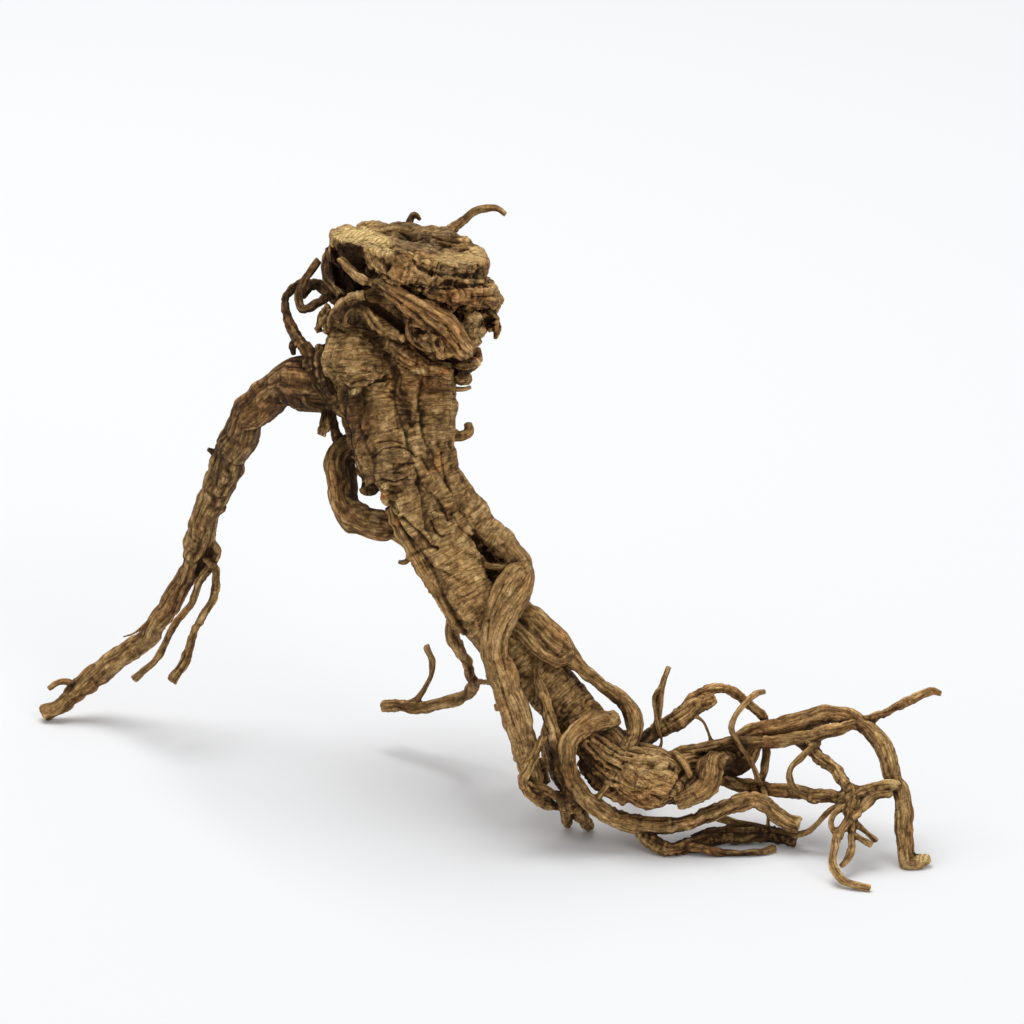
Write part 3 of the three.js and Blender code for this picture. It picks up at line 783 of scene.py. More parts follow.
# %% The roots of the crown
# the bark that each one wears, and its stations: across, up the board, behind it, and the radius there
CROWN = [
    ("trunk", [
        (-24, 116, 1, 11.5), (-25.5, 127.5, 1, 14.5), (-26, 137.5, 1, 15.5), (-25.5, 143, 0.5, 16),
        (-25.7, 148, -1, 16.5),
    ]),
    # the bark that still hangs under the left rim, and threads in the hollow
    ("fibre", [
        (-45.3, 151, -4, 2.2), (-45.7, 146, -5, 2.2), (-45.3, 142.7, -6, 2.3), (-42, 139, -8, 2.6),
    ]),
    ("fibre", [(-42.8, 147.5, -8, 0.8), (-43, 143, -9, 0.9), (-41.5, 139, -10, 1)]),
    ("fibre", [(-40.7, 147, -9, 0.7), (-41, 143, -10, 0.8), (-40, 139.5, -11, 1)]),
    ("fibre", [(-44.2, 146, -7, 0.8), (-44.4, 142, -8, 0.9), (-43, 139, -9, 1)]),
    ("fibre", [(-36.3, 150, -16.5, 1.7), (-36, 148, -17, 1.8), (-34.7, 145.7, -17, 1.6)]),
    ("fibre", [(-33.6, 149.2, -18, 2), (-33, 147, -18.5, 2), (-31.6, 145, -18.7, 1.8)]),
    ("fibre", [(-30.5, 149.3, -18, 1.7), (-30.6, 147.5, -19, 1.7), (-30, 145.5, -19, 1.8)]),
    # under it two lumpy bands
    ("crumbly", [
        (-29.3, 146.3, -18, 2.4), (-27.8, 144, -18.5, 2.6), (-24, 143, -18.7, 1.8), (-20, 142, -18.3, 1.5),
        (-16, 141.8, -16.8, 1.4), (-11, 142, -13.2, 1.3), (-7.4, 142, -8, 1.3), (-6.4, 141.8, -2, 1.3),
    ]),
    ("crumbly", [
        (-24.7, 139.9, -17, 1.2), (-20, 138.6, -17.6, 1.8), (-15, 138, -16.8, 2.4),
        (-10.5, 138, -13.6, 2.8), (-6.6, 138, -9, 2.9), (-5.2, 138, -3, 2.9), (-5.2, 138.4, 3, 2.6),
    ]),
    ("crumbly", [
        (-12.5, 133.5, -12.5, 1.8), (-9.5, 132.3, -9, 2), (-9.4, 129, -7.5, 2.2), (-8.6, 126.8, -6.5, 1),
    ]),
    # the torn flap on the right
    ("crumbly", [(-9.5, 134, -3, 2.8), (-7, 132, 0, 2.4), (-6, 130.8, 0, 1.4)]),
    ("fibre", [
        (-5.6, 135, -3, 1.6), (-4.3, 132.8, -3, 1.5), (-3.5, 130.3, -3.5, 1.1), (-4, 128, -4, 0.6),
    ]),
    ("fibre", [(-7.6, 134.5, -4.5, 1.2), (-6, 132.3, -4.5, 1.1), (-5.3, 129.6, -4.5, 0.7)]),
    # round the back
    ("fibre", [
        (-46, 148, -1, 2.4), (-41.5, 146, 10, 3.2), (-28, 143, 17, 3.6), (-14, 141, 14, 3.6),
        (-6, 141, 5, 2.8),
    ]),
    ("fibre", [
        (-43, 132, 0, 3), (-37, 128, 11, 4), (-26, 124, 15, 4.2), (-14, 122, 9, 3.6), (-10, 124, 1, 3),
    ]),
    ("crumbly", [
        (-44, 140, 2, 2.4), (-38, 137.5, 11, 3), (-26, 135.5, 15, 3), (-13, 133, 11, 3), (-5, 136, 3, 2),
    ]),
]

# %% The body of the crown
# across, up, behind, which way it faces, its radius below and at the cut, and its thickness
CROWN_PLATES = [(-25.9, 151.7, -4.9, (0.18, 1, -0.28), 19.4, 20.3, 7)]
# across, up, behind, then half the width, height and depth
CROWN_LUMPS = [
    # the shoulder, the tiers on the right, and the knobs on the cut face
    (-39.2, 123.4, -5.5, 9, 8, 10.2), (-12, 121.5, -8, 3.3, 1.7, 4), (-12.4, 117.9, -7.5, 2.7, 2.2, 3.5),
    (-17.2, 153.8, 4, 3.8, 2.8, 4), (-12.8, 152, 3, 3, 2.2, 3.4), (-21.5, 154.6, 7, 4.5, 2.4, 4),
    (-27.5, 155.4, 8, 5.5, 2.8, 4.5), (-35, 155.8, 7, 5, 2.4, 4), (-42, 154.6, 2, 3.6, 2.2, 5),
    (-38, 152.6, -8, 6, 2.4, 5), (-33, 151.2, -12, 4, 2.2, 4),
    # the back of the stump, under the cut face
    (-41, 149.5, 5, 5.5, 6, 7), (-34, 149.5, 11, 6.5, 6, 6), (-25, 149.5, 13, 7, 6, 6),
    (-16, 148.5, 10, 6.5, 6, 6), (-10, 147, 3, 4.5, 5, 7),
    # the first band
    (-29.2, 145.6, -18.8, 2.7, 3.0, 2.6), (-26.4, 143.2, -19.6, 2.6, 2.0, 2.2),
    (-25.2, 145.2, -19.4, 2.2, 1.9, 2), (-22.4, 143.8, -19.2, 2.6, 1.5, 2), (-32, 146, -17.5, 2, 2.4, 2.2),
    (-21.3, 142.3, -18.8, 2.4, 1.5, 2), (-17.6, 142, -17.5, 2.2, 1.4, 2), (-13.2, 142, -14.8, 2.7, 1.0, 2),
    (-9.4, 142.1, -11.2, 2.2, 1.2, 2),
    # the second band
    (-22.6, 139.2, -18, 2.4, 1.5, 2), (-18.2, 138.4, -18, 2.2, 2.1, 2.1),
    (-13.6, 138.6, -16.8, 2.3, 2.0, 2.1),
    (-15.6, 135.8, -15.8, 2.5, 1.2, 2), (-10, 139.6, -14, 2.4, 1.6, 2), (-10.2, 136.2, -13.6, 2.8, 1.8, 2),
    (-6.4, 140, -10, 2.6, 1.5, 2.4), (-5.6, 136.2, -9, 2.4, 1.7, 2.6), (-4.2, 138.2, -4, 2.1, 2.6, 4),
]
# depth, how far in from the rim it gets there, and the outline on the board
CROWN_HOLLOWS = [
    (5.0, 1.2, [
        (-45.6, 150.8), (-43, 151.6), (-38.8, 151.8), (-36.9, 150.8), (-36.4, 147.4), (-35.2, 144.8),
        (-33, 143), (-35.5, 140.6), (-38, 139), (-41.5, 139), (-44.3, 141), (-45, 145),
    ]),
    (1.2, 1.4, [
        (-39.5, 135.8), (-37, 137), (-34, 136.4), (-30, 134.5), (-26, 131), (-25.6, 128.4), (-28.5, 130),
        (-33, 133),
    ]),
    (3.0, 0.9, [(-9, 133.2), (-6, 133.6), (-4, 133), (-4.2, 130.8), (-7, 129.9), (-9, 130.5)]),
]
# across, up, behind, radius
CROWN_DENTS = [(-28.7, 148.7, -19.5, 1.2), (-14.2, 151.6, -4, 1.3)]

# %% Cracks in the crown
# width, depth, and where the line runs on the board
STRAP_CRACKS = [
    (0.4, 0.5, [(-33, 140.2), (-29.5, 137.9), (-26, 135.5), (-23, 133)]),
    (0.35, 0.4, [(-30, 140), (-26.5, 138), (-22.5, 135.5), (-18.5, 133.5)]),
    (0.4, 0.5, [(-18, 130.5), (-15, 129.5), (-13.5, 127), (-13, 125)]),
    (0.35, 0.4, [(-21, 132.6), (-17.5, 131.8), (-15, 130)]),
]
CROWN_LINES = [
    # cracks on and round the cut face
    (0.8, 1.4, [(-30.2, 150.3), (-28, 149), (-26, 148.2), (-24.5, 146.6), (-22.4, 145.2), (-20, 144.2)]),
    (0.8, 1.6, [(-20, 144.2), (-17, 143.5), (-12, 143.5), (-7, 143.4)]),
    (0.4, 0.5, [(-28, 153), (-26, 152.3), (-24.5, 152.2), (-22.5, 152.7)]),
    (0.5, 0.8, [(-20, 153.2), (-17.5, 152.4), (-14.5, 151.8), (-12, 152.2)]),
    (0.3, 0.4, [(-29, 151.2), (-27, 150.3), (-24.5, 149.6), (-22, 149.8)]),
    (0.3, 0.3, [(-22, 147.9), (-19, 147.3), (-16, 147.3), (-13, 148)]),
    (0.3, 0.4, [(-37, 153.6), (-34.5, 154), (-32, 152.8), (-31, 151)]),
    (0.3, 0.3, [(-38, 152.3), (-35, 152.6), (-32.8, 151.3), (-32.2, 149.8)]),
    (0.3, 0.3, [(-36, 154.8), (-32.5, 154.6), (-30, 153), (-29.6, 151)]),
    (0.4, 0.5, [(-44, 154), (-41.5, 153), (-40, 153.4)]),
    (0.45, 0.8, [(-28.6, 154.8), (-24.8, 152.2), (-21, 150.3), (-15.9, 147.8), (-12, 146.5)]),
    (0.4, 0.6, [(-23.5, 151.6), (-21, 151.9), (-19.7, 151.3)]),
    (0.4, 0.7, [(-13.3, 149.7), (-11, 150.3), (-9.5, 149.1), (-6.3, 147.8)]),
    (0.5, -0.6, [(-27, 151.5), (-23, 149.2), (-18, 147.3), (-13, 145.6)]),
    (0.35, 0.6, [(-12, 147.8), (-9.6, 146.9), (-7.4, 145.2)]),
    # cracks between the bands
    (0.45, 0.7, [(-25.5, 141.2), (-22, 141), (-19, 140.3), (-15, 140.5), (-11, 140.9), (-6, 140.9)]),
    (1.2, 1.8, [
        (-37, 147), (-36, 144.8), (-33, 143.6), (-30, 141.8), (-27, 140.3), (-24, 138.8), (-21, 137),
        (-18, 136), (-15.5, 134.8), (-13, 133.2),
    ]),
    (0.3, 0.4, [(-16.3, 139.8), (-15.9, 138), (-16.6, 136.8)]),
    (0.3, 0.4, [(-10, 138.4), (-7, 138.3), (-3.5, 138.8)]),
    (0.3, 0.4, [(-27, 145.5), (-25.8, 144), (-26.4, 142)]),
    (0.3, 0.4, [(-22.5, 143.5), (-21.5, 142)]),
    # under the strap
    (1.5, 1.2, [(-39.5, 135.9), (-37, 136.6), (-34, 135.6), (-31, 133.6), (-28, 131), (-26, 128.8)]),
    (0.6, 0.9, [(-25.4, 130.6), (-25.6, 128.3), (-24.6, 126), (-22, 123.6), (-20, 122.2)]),
    *STRAP_CRACKS,
    (0.9, 1.2, [(-20, 122), (-17.5, 121.6), (-15, 122), (-12, 123.2), (-9.8, 123.4)]),
    (0.8, 0.9, [(-16, 120), (-13.5, 119.9), (-10.5, 120.2)]),
    # the shoulder
    (0.45, 0.8, [(-41, 131), (-41.2, 133), (-40, 134.9), (-38, 135.5)]),
    (0.45, 0.8, [(-36, 134.3), (-34, 131.5), (-31.5, 129.6), (-28.5, 128), (-25.5, 126.8)]),
    (0.5, 0.9, [(-44.6, 131.5), (-43.5, 130.2), (-42, 129.6)]),
    (0.4, 0.6, [(-40.5, 131), (-37, 130.6), (-34, 129.3)]),
    (0.35, 0.5, [(-38, 128.3), (-35.3, 127.2)]),
    (0.35, 0.5, [(-46.2, 120.9), (-45, 120.4)]),
    (0.35, 0.5, [(-44.7, 119.4), (-41.5, 119.2)]),
    (0.8, 1.4, [(-40, 116.3), (-37, 117), (-34, 116.3), (-31.5, 117)]),
    (0.5, 0.8, [(-31.3, 124.5), (-29.5, 122.7), (-28, 121.4), (-25, 120.2)]),
    (1.6, 1.2, [(-30.8, 124), (-29.8, 120.5), (-28.6, 117.5)]),
]

# %% Colours and painted shade of the crown
# each patch is an oval: across, up, half the width, half the height, and how strong it is
CROWN_CUT = [
    (-39, 153.6, 6.6, 2.6, 1.0), (-33.5, 152, 3.5, 2.8, 0.9), (-32.2, 149.8, 3, 1.6, 0.8),
    (-13, 147.6, 7, 1.8, 0.5), (-8.6, 149, 3.4, 2, 0.7),
    (-23, 119.6, 2.2, 0.8, 0.8),
]
CROWN_GREY = [
    (-24, 152.6, 7, 3, 0.8), (-18.5, 150.5, 4, 2.2, 0.7), (-26, 157, 7, 2, 1.0), (-14, 144.8, 8, 1.3, 0.6),
    (-16.5, 154.6, 4, 1.8, 0.7),
]
CROWN_RUST = [
    (-4, 130.5, 1.6, 3, 0.35), (-48.5, 130, 1.5, 2, 0.6), (-12, 137, 9, 4, 0.25), (-27, 144, 6, 3, 0.2),
    (-16.5, 120, 1.5, 1, 0.6),
]
# painted shade in the hollow under the left rim, under the straps, in knot holes and in cracks
CROWN_PAINTED_SHADE = [
    (-40.4, 147, 4.8, 6, 0.90), (-45.8, 145, 2.2, 5, 0.78), (-36, 136, 2.6, 1.2, 0.74),
    (-28, 131.5, 1.2, 1.2, 0.68), (-7, 131.6, 2, 1.8, 0.8), (-22.6, 129.4, 1.8, 0.9, 0.9),
    (-18.7, 126.4, 0.8, 1, 0.95), (-28.8, 149.3, 1.4, 0.9, 0.85), (-14, 152, 1.6, 0.7, 0.85),
    (-17, 121.9, 3, 0.9, 0.75), (-13.3, 132.6, 1.8, 1.2, 0.62),
]
# partly painted shade, as in the hollow under the left rim, and partly the crown's own tone
CROWN_TONE_AND_SHADE = [
    (-45.5, 144.5, 3.4, 6, 0.34), (-25.3, 160, 2.5, 2.5, 0.2), (-15, 118, 9, 4, 0.10),
    (-24, 152, 8, 3, 0.06), (-5, 131, 4, 5, 0.14), (-28, 138, 34, 24, 0.02), (-44, 118, 5, 6, 0.10),
]

# %% Grow the crown
grow(
    "crown", CROWN, 0.37, lumps=CROWN_LUMPS, plates=CROWN_PLATES, hollows=CROWN_HOLLOWS,
    dents=CROWN_DENTS, drawn=CROWN_LINES, cut=CROWN_CUT, rust=CROWN_RUST, grey=CROWN_GREY,
    painted_shade=CROWN_PAINTED_SHADE, tones_and_shade=CROWN_TONE_AND_SHADE,
)

# %% [markdown]
# # The straps of the crown
# Some old roots lie over the crown without having grown into it. They stay a piece of their own, so that a
# real dark gap runs along their edges.

# %% The strap roots
STRAPS = [
    # the stick that starts in the hollow, and the strap that runs down across the front
    ("limb", [
        (-43, 147.5, -14, 1.1), (-41, 145.9, -15.5, 1.3), (-38.5, 143.7, -17.5, 1.4),
        (-36, 141.4, -19, 1.3),
    ]),
    ("fibre", [
        (-36, 141.8, -17, 1.3), (-33, 141, -18, 1.8), (-30, 139, -18.8, 2.2), (-27, 137.2, -19.3, 2.6),
        (-24, 135.2, -19.5, 3), (-20.5, 133, -19, 3.5), (-17, 130.7, -17.5, 3.9), (-14, 128, -15.5, 3.9),
        (-12.2, 125.5, -13, 3.2), (-11.5, 123.5, -11, 2.2),
    ]),
    ("limb", [
        (-22.5, 136.2, -20, 0.9), (-18.5, 135, -19.8, 1), (-15.7, 133, -18.3, 1.1),
        (-13, 130.2, -15.8, 1.2), (-11, 127.5, -12.5, 1.2),
    ]),
    ("limb", [
        (-25.6, 132.2, -18, 0.6), (-25, 129, -17.5, 0.9), (-24, 126.8, -17.2, 1), (-21.5, 124.9, -16.8, 1),
    ]),
    ("limb", [
        (-24.6, 130.9, -18.3, 0.8), (-22.2, 131, -19.4, 0.9), (-20, 130.4, -19.8, 1),
        (-19, 128.8, -19.4, 1),
    ]),
    # the curled strap under it
    ("limb", [
        (-36.3, 137.8, -16.5, 1.5), (-39.5, 137, -15.5, 1.8), (-42.3, 135, -13.5, 2),
        (-44, 132.7, -12, 1.8), (-44.3, 130.5, -11.5, 1.3),
    ]),
    ("limb", [
        (-41, 130.8, -14.5, 1), (-41, 133, -15, 1.1), (-39.3, 134.5, -15.5, 1.2), (-37, 134.4, -16, 1.2),
        (-35, 132.5, -16.5, 1.3), (-32.5, 130.3, -17, 1.4), (-29, 128.8, -17, 1.5),
        (-26.3, 127.2, -16.5, 1.2),
    ]),
    ("limb", [
        (-31.5, 126.8, -14.5, 1.5), (-28, 124.4, -15, 2.1), (-25, 122.4, -14.5, 2.2),
        (-21.5, 120.5, -13.5, 1.7), (-18, 119.5, -12.5, 1.5), (-15.5, 119, -11.5, 1.3),
    ]),
    ("fibre", [(-48, 129.5, -5, 1.3), (-48, 132, -6, 1.5), (-46.8, 134.7, -8, 1.4), (-46, 136.7, -9, 1)]),
    ("fibre", [(-46, 129, -9, 1.2), (-45.5, 132, -10.5, 1.4), (-45, 134.7, -11, 1.2)]),
]

# %% Knots, cracks, colours and painted shade of the straps
STRAP_LINES = [
    (0.5, 0.8, [(-24.3, 126.6), (-22, 125), (-20, 124.4), (-18.5, 123.4)]),
    (0.35, 0.5, [(-20.4, 129.6), (-18.6, 129), (-16.8, 127.6), (-16.2, 125.6)]),
    (0.3, 0.4, [(-21.5, 127.6), (-20.2, 126.3), (-20, 124.9)]),
    (0.35, 0.5, [(-17.6, 127.8), (-16.6, 126.3), (-16.9, 124.6)]),
    *STRAP_CRACKS,
]
STRAP_LUMPS = [
    (-21.2, 127.2, -18.6, 2.1, 1.7, 1.8), (-18.8, 128.4, -19, 2, 1.4, 1.8),
    (-16.6, 126.4, -17.4, 1.8, 2.2, 1.8), (-20.4, 125.4, -17.6, 2.4, 1.2, 1.8),
    (-16.6, 124.4, -15.6, 3, 1.4, 2.4),
]
STRAP_DENTS = [
    (-23.2, 129.2, -20.4, 1.2), (-21.9, 129.6, -20.9, 1.0), (-18.8, 126.2, -20.2, 0.9),
    (-18.7, 127, -20.4, 0.7),
]
# painted shade in the knot holes
STRAP_PAINTED_SHADE = [(-22.4, 129.5, 1.9, 0.7, 0.95), (-18.7, 126.5, 0.6, 1.1, 1.0), (-24.9, 128.4, 0.5, 1.4, 0.75)]
# partly painted shade round the curls, and partly the straps' own tone
STRAP_TONE_AND_SHADE = [
    (-47, 132, 4, 6, 0.16), (-42, 135.5, 5, 4, 0.12), (-40, 145, 5, 5, 0.05), (-30, 127, 9, 7, 0.06),
]
STRAP_CUT = CROWN_CUT[-1:]  # the pale tip of the curled strap
STRAP_RUST = [(-16.5, 120, 1.5, 1, 0.6), (-24, 135, 11, 6, 0.22), (-15, 128, 5, 5, 0.16)]

# %% Grow the straps
grow(
    "straps", STRAPS, 0.34, lumps=STRAP_LUMPS, dents=STRAP_DENTS, drawn=STRAP_LINES,
    cut=STRAP_CUT, rust=STRAP_RUST, painted_shade=STRAP_PAINTED_SHADE, tones_and_shade=STRAP_TONE_AND_SHADE,
)

# %% [markdown]
# # The taproot
# Below the crown the taproot has two lobes with a groove between them, wrinkled across like a sleeve that
# was pushed up. Knots show where rootlets broke off, and one scar still has orange and cream fibres. At its
# foot it turns flat and ends in a knuckle of long folds.

# %% The roots of the taproot
TAPROOT = [
    ("trunk", [
        (-23.5, 126, 1, 11), (-26.5, 112.5, 1, 12), (-27, 102.5, 0.5, 11.3), (-23.5, 92.5, 0, 9.8),
        (-19.5, 82.5, 0, 8.8), (-14, 72.5, 0, 7.8), (-9, 62.5, 0, 7.8), (-1.5, 52.5, 1, 7.6),
        (8.5, 41.5, 3, 7), (18, 31, 2, 6.2), (26, 23.6, 0.5, 6),
    ]),
    ("limb", [
        (22, 27, 1, 5.8), (28, 22, 0, 6), (33, 19.6, -1, 6.3), (37, 18, -2, 6.4), (43, 16.5, -2, 4.6),
    ]),
    ("trunk", [
        (-33, 117, -6, 6), (-32.5, 108, -7, 6.2), (-31, 100, -7, 6), (-28, 92, -6, 5.5),
        (-24.5, 85, -5, 4.6), (-21, 78.5, -4, 3.6),
    ]),
    ("trunk", [
        (-19.5, 121, -4, 6), (-19.8, 112, -5.5, 6.2), (-19.5, 103, -5.5, 5.6), (-17.5, 95, -5, 5),
        (-14, 88, -4, 4.2), (-11, 82, -2.5, 3.6),
    ]),
    ("trunk", [
        (-26.8, 117, -3, 4.4), (-26.4, 111.5, -4.6, 4.6), (-25.2, 106, -6, 4.6), (-23.2, 100, -6.6, 4.8),
        (-20.2, 93.5, -6, 4.6), (-16.6, 87, -4.8, 4), (-12.8, 80, -3.2, 3.4),
    ]),
    ("trunk", [
        (-39.6, 119, -3.5, 4.8), (-39.2, 112.5, -3.5, 4.8), (-38, 105, -2.5, 4.2), (-36.6, 97.5, 0, 3.6),
        (-34.2, 91.2, 1, 2.6),
    ]),
    ("trunk", [(-37.6, 118, -6, 4.2), (-36.9, 108, -7, 4.3), (-35.5, 100, -6.6, 4), (-33, 92, -5, 3.4)]),
    ("limb", [
        (-29.8, 86, -5, 2.2), (-28.3, 82.5, -4.5, 2.4), (-25.5, 77, -4, 2.3), (-22.3, 71, -3, 2.1),
        (-19, 65, -2, 1.9), (-15, 59, -1, 1.8), (-11, 54, -0.5, 1.6), (-7, 50, 0, 1.2),
    ]),
    # a pale broken stub under the shoulder, and the taproot's back
    ("smooth", [(-37.6, 115, -9.5, 0.9), (-38.6, 114.6, -12, 0.8), (-39.8, 114.1, -13.8, 0.7)]),
    ("trunk", [(-24, 121, 9, 4.5), (-25, 107, 10, 4.4), (-21, 92, 8, 3.8), (-15, 78, 6.5, 3)]),
    # behind the gap beside the crossing root
    ("trunk", [(-9, 80, 2, 2.6), (-5.5, 74, 1, 3), (-3, 69, 1, 2.8), (-3, 62, 1, 3)]),
    # the folds that run on to the knuckle, and its foot
    ("smooth", [
        (19, 29.5, -5, 1.5), (22.5, 27, -6.5, 1.6), (26, 24.3, -7, 1.7), (31, 23, -7.5, 1.6),
        (37, 22.5, -8, 1.5),
    ]),
    ("smooth", [
        (17.5, 28.5, -6, 1.3), (20.5, 25, -6.5, 1.5), (23.5, 22.3, -7, 1.6), (27.5, 20.5, -8, 1.5),
    ]),
    ("smooth", [(16.8, 26, -4.5, 1.3), (19.5, 21.8, -5, 1.5), (22.7, 19, -6, 1.5), (26.5, 17.5, -7, 1.4)]),
    ("smooth", [(17, 22.5, -2.5, 1.4), (20, 18.3, -3.5, 1.6), (24.5, 15, -4.5, 1.6), (29, 12.8, -5, 1.6)]),
]

# %% Knots and cracks of the taproot
TAPROOT_LUMPS = [
    # knots
    (-35.7, 90.5, 3, 2.6, 2.4, 2.4), (-29.3, 98.1, -11.6, 4.3, 2.5, 2.2),
    (-28.8, 93.8, -10.8, 4.2, 1.9, 2.2), (-17.1, 80.2, -7.8, 2.5, 2.3, 2),
    (-19.2, 83.8, -8.8, 1.5, 1.5, 1.4), (-10.2, 74.8, -6.4, 1.4, 1.3, 1.4),
    (-30.8, 88.3, -8.8, 2.2, 2.6, 1.8),
    # the knuckle
    (37, 18, -4, 6.6, 6.4, 7), (31.5, 17.6, -5, 6.4, 6.0, 6.6), (34, 13, -5.4, 5.4, 2.4, 4),
]
TAPROOT_LINES = [
    # the groove between the lobes, and the cracks that run on from it
    (2.6, 0.9, [(-29.4, 121), (-28.4, 116), (-27, 112), (-25.6, 108)]),
    (1.2, 0.5, [(-25.6, 108), (-24.4, 104.5), (-22.8, 100.5)]),
    (0.5, 0.5, [(-22.6, 98), (-21, 95.3), (-19.7, 92)]),
    (0.5, 0.5, [(-17.6, 99.5), (-17.6, 97.5), (-17.1, 95), (-16.6, 92), (-15.2, 89.7)]),
    (0.4, 0.5, [(-18.6, 87.6), (-17.4, 85.5), (-16.2, 83.2), (-15.8, 81.5)]),
    (0.8, 1.2, [(-27.6, 83), (-25.2, 80.9), (-23.2, 79.4), (-21.8, 77.5), (-20.6, 75.8), (-18.6, 75.4)]),
    (0.4, 0.4, [(-24.8, 76.3), (-22.5, 73), (-20.6, 69.5)]),
    # knots
    (0.4, 0.5, [(-34.8, 98), (-32.3, 100.3), (-28.5, 100.9), (-25.5, 99.8), (-24, 98)]),
    (0.5, 0.4, [(-32.5, 97.6), (-30, 96.4), (-26.8, 96.4), (-24.5, 96.8)]),
    (0.5, 0.6, [(-33.5, 101.8), (-30, 102.4), (-27.3, 101.6)]),
    (0.5, 0.8, [(-32.6, 92.6), (-29.5, 91.8), (-27, 92.6), (-24.8, 94)]),
    (0.4, 0.5, [(-31.5, 94.2), (-28.5, 94.4), (-26, 93.9)]),
    (0.45, 0.8, [(-20.3, 82.2), (-19.4, 79.6), (-17.6, 78.2), (-15.6, 78.8), (-14.6, 80.4)]),
    (0.3, 0.4, [(-18.3, 81.6), (-17, 80.6), (-16.2, 81.6)]),
    (0.3, 0.45, [(-20.4, 84.4), (-19.3, 85.2), (-18.1, 84.4), (-18.4, 83), (-19.7, 82.7), (-20.4, 84.4)]),
    (0.3, 0.4, [(-11.4, 75.2), (-10.2, 76), (-9, 75.2), (-9.6, 73.7), (-11, 73.9)]),
    (0.5, 0.6, [(-17, 69.5), (-15.2, 68.6), (-13.4, 67.4)]),
    (0.4, 0.5, [(-16.4, 71.5), (-13.8, 71.8)]),
    (0.5, 0.6, [(-14.2, 63.6), (-11.8, 63.2)]),
    # the scar and its fibres
    (1.1, 1.0, [(-33.2, 88.8), (-31.6, 87.6), (-30.2, 86.8)]),
    (0.6, 0.7, [(-31.4, 90), (-29.2, 89.2), (-27.5, 89.6)]),
    (0.5, -0.7, [(-29.4, 88.2), (-28.2, 86.3), (-27.7, 84.2)]),
    (0.4, -0.6, [(-30.3, 86), (-29, 84.4), (-27.9, 83.6)]),
    (0.8, -0.9, [(-32.2, 90.9), (-31.4, 90.6)]),
    # the slots beside the crossing root
    (1.0, 3.0, [(-9.2, 78), (-8, 75.8), (-6, 73.4), (-4.3, 71.9)]),
    (1.2, 3.0, [(-5.8, 70), (-4.9, 68.2)]),
    # the knuckle
    (0.7, 1.0, [(21, 28.4), (24, 25.6), (27, 23.9), (30, 23.6)]),
    (0.7, 1.1, [(19, 26.7), (21.3, 23.7), (24, 21.4), (27, 20)]),
    (0.7, 1.0, [(18.2, 23.6), (20.6, 20.4), (24, 17.6), (26.5, 16.6)]),
    (0.35, 0.4, [(30.3, 20.4), (31, 18.6), (33, 17.6), (36, 17.7), (38.5, 18.8)]),
    (0.3, 0.3, [(32, 21.6), (35, 21.2), (38.5, 21.7), (40.4, 20)]),
    (0.45, 0.5, [(27, 18.8), (29, 16.7), (31.2, 15.5), (34.5, 15.2), (37.5, 16.2)]),
    (0.4, 0.5, [(29.8, 14.5), (33, 14.4), (36, 13.4), (37.2, 12.6)]),
    (0.4, 0.5, [(26.6, 15), (29.4, 12.8), (33, 11.2), (36.5, 10.8)]),
    (0.8, 1.3, [(45.5, 23), (44, 20.8), (42.4, 18.8), (41.2, 16), (39.4, 13.4)]),
]

# %% Colours and painted shade of the taproot
TAPROOT_CUT = [(-31.8, 90.8, 1.1, 0.9, 0.9), (-28.3, 85.8, 1, 2, 0.45), (-39.2, 114.4, 1.8, 1, 1.0)]
TAPROOT_RUST = [(-32.5, 88.4, 1.7, 0.9, 1.0), (-28.6, 81.8, 1.2, 1.6, 0.6), (-18.2, 97.5, 1.4, 4, 0.25)]
TAPROOT_GREY = [(-29, 98.3, 4.5, 2.4, 0.55), (-29, 94, 4.3, 1.7, 0.5), (-20.6, 99, 2, 4, 0.4)]
# painted shade in the groove, the scar, the slots beside the crossing root and the folds of the knuckle
TAPROOT_PAINTED_SHADE = [
    (-20, 115, 6.5, 1.6, 0.66), (-30, 88.3, 1.9, 1.6, 0.74),
    (-22.8, 78.3, 1.6, 1.2, 0.72), (-8.8, 77.3, 0.9, 1.2, 1.0), (-7.3, 75, 1.1, 1.2, 1.0),
    (-5.3, 73, 1.2, 1, 1.0), (-4.9, 69.3, 1.7, 1.2, 1.0), (-4.7, 67.6, 0.9, 1, 1.0),
    (19, 21.5, 1.8, 3.2, 0.85), (22, 17, 2, 2, 0.8), (43.3, 21, 1.2, 2, 0.8),
]
# partly painted shade, in the groove and on the far left of the lobes, and partly the bark's own tone, which
# is lighter lower down
TAPROOT_TONE_AND_SHADE = [
    (-27, 111, 2.4, 7, 0.15), (-40.5, 108, 5, 13, 0.30), (-36, 91.5, 3, 4, 0.26), (-14, 66, 10, 13, -0.23),
    (6, 44, 9, 10, -0.10), (33, 17, 9, 7, -0.05), (18, 20, 3, 6, 0.18), (36, 9.5, 9, 3, 0.14),
]

# %% Grow the taproot
grow(
    "taproot", TAPROOT, 0.39, lumps=TAPROOT_LUMPS, drawn=TAPROOT_LINES, cut=TAPROOT_CUT,
    rust=TAPROOT_RUST, grey=TAPROOT_GREY, painted_shade=TAPROOT_PAINTED_SHADE, tones_and_shade=TAPROOT_TONE_AND_SHADE,
)

# %% [markdown]
# # The crossing root
# One thick root leaves the taproot's right side, bows out, and crosses in front of it. It is smooth where
# it is stretched over the bend, and a thin bridge of bark joins it to the taproot across the gap.

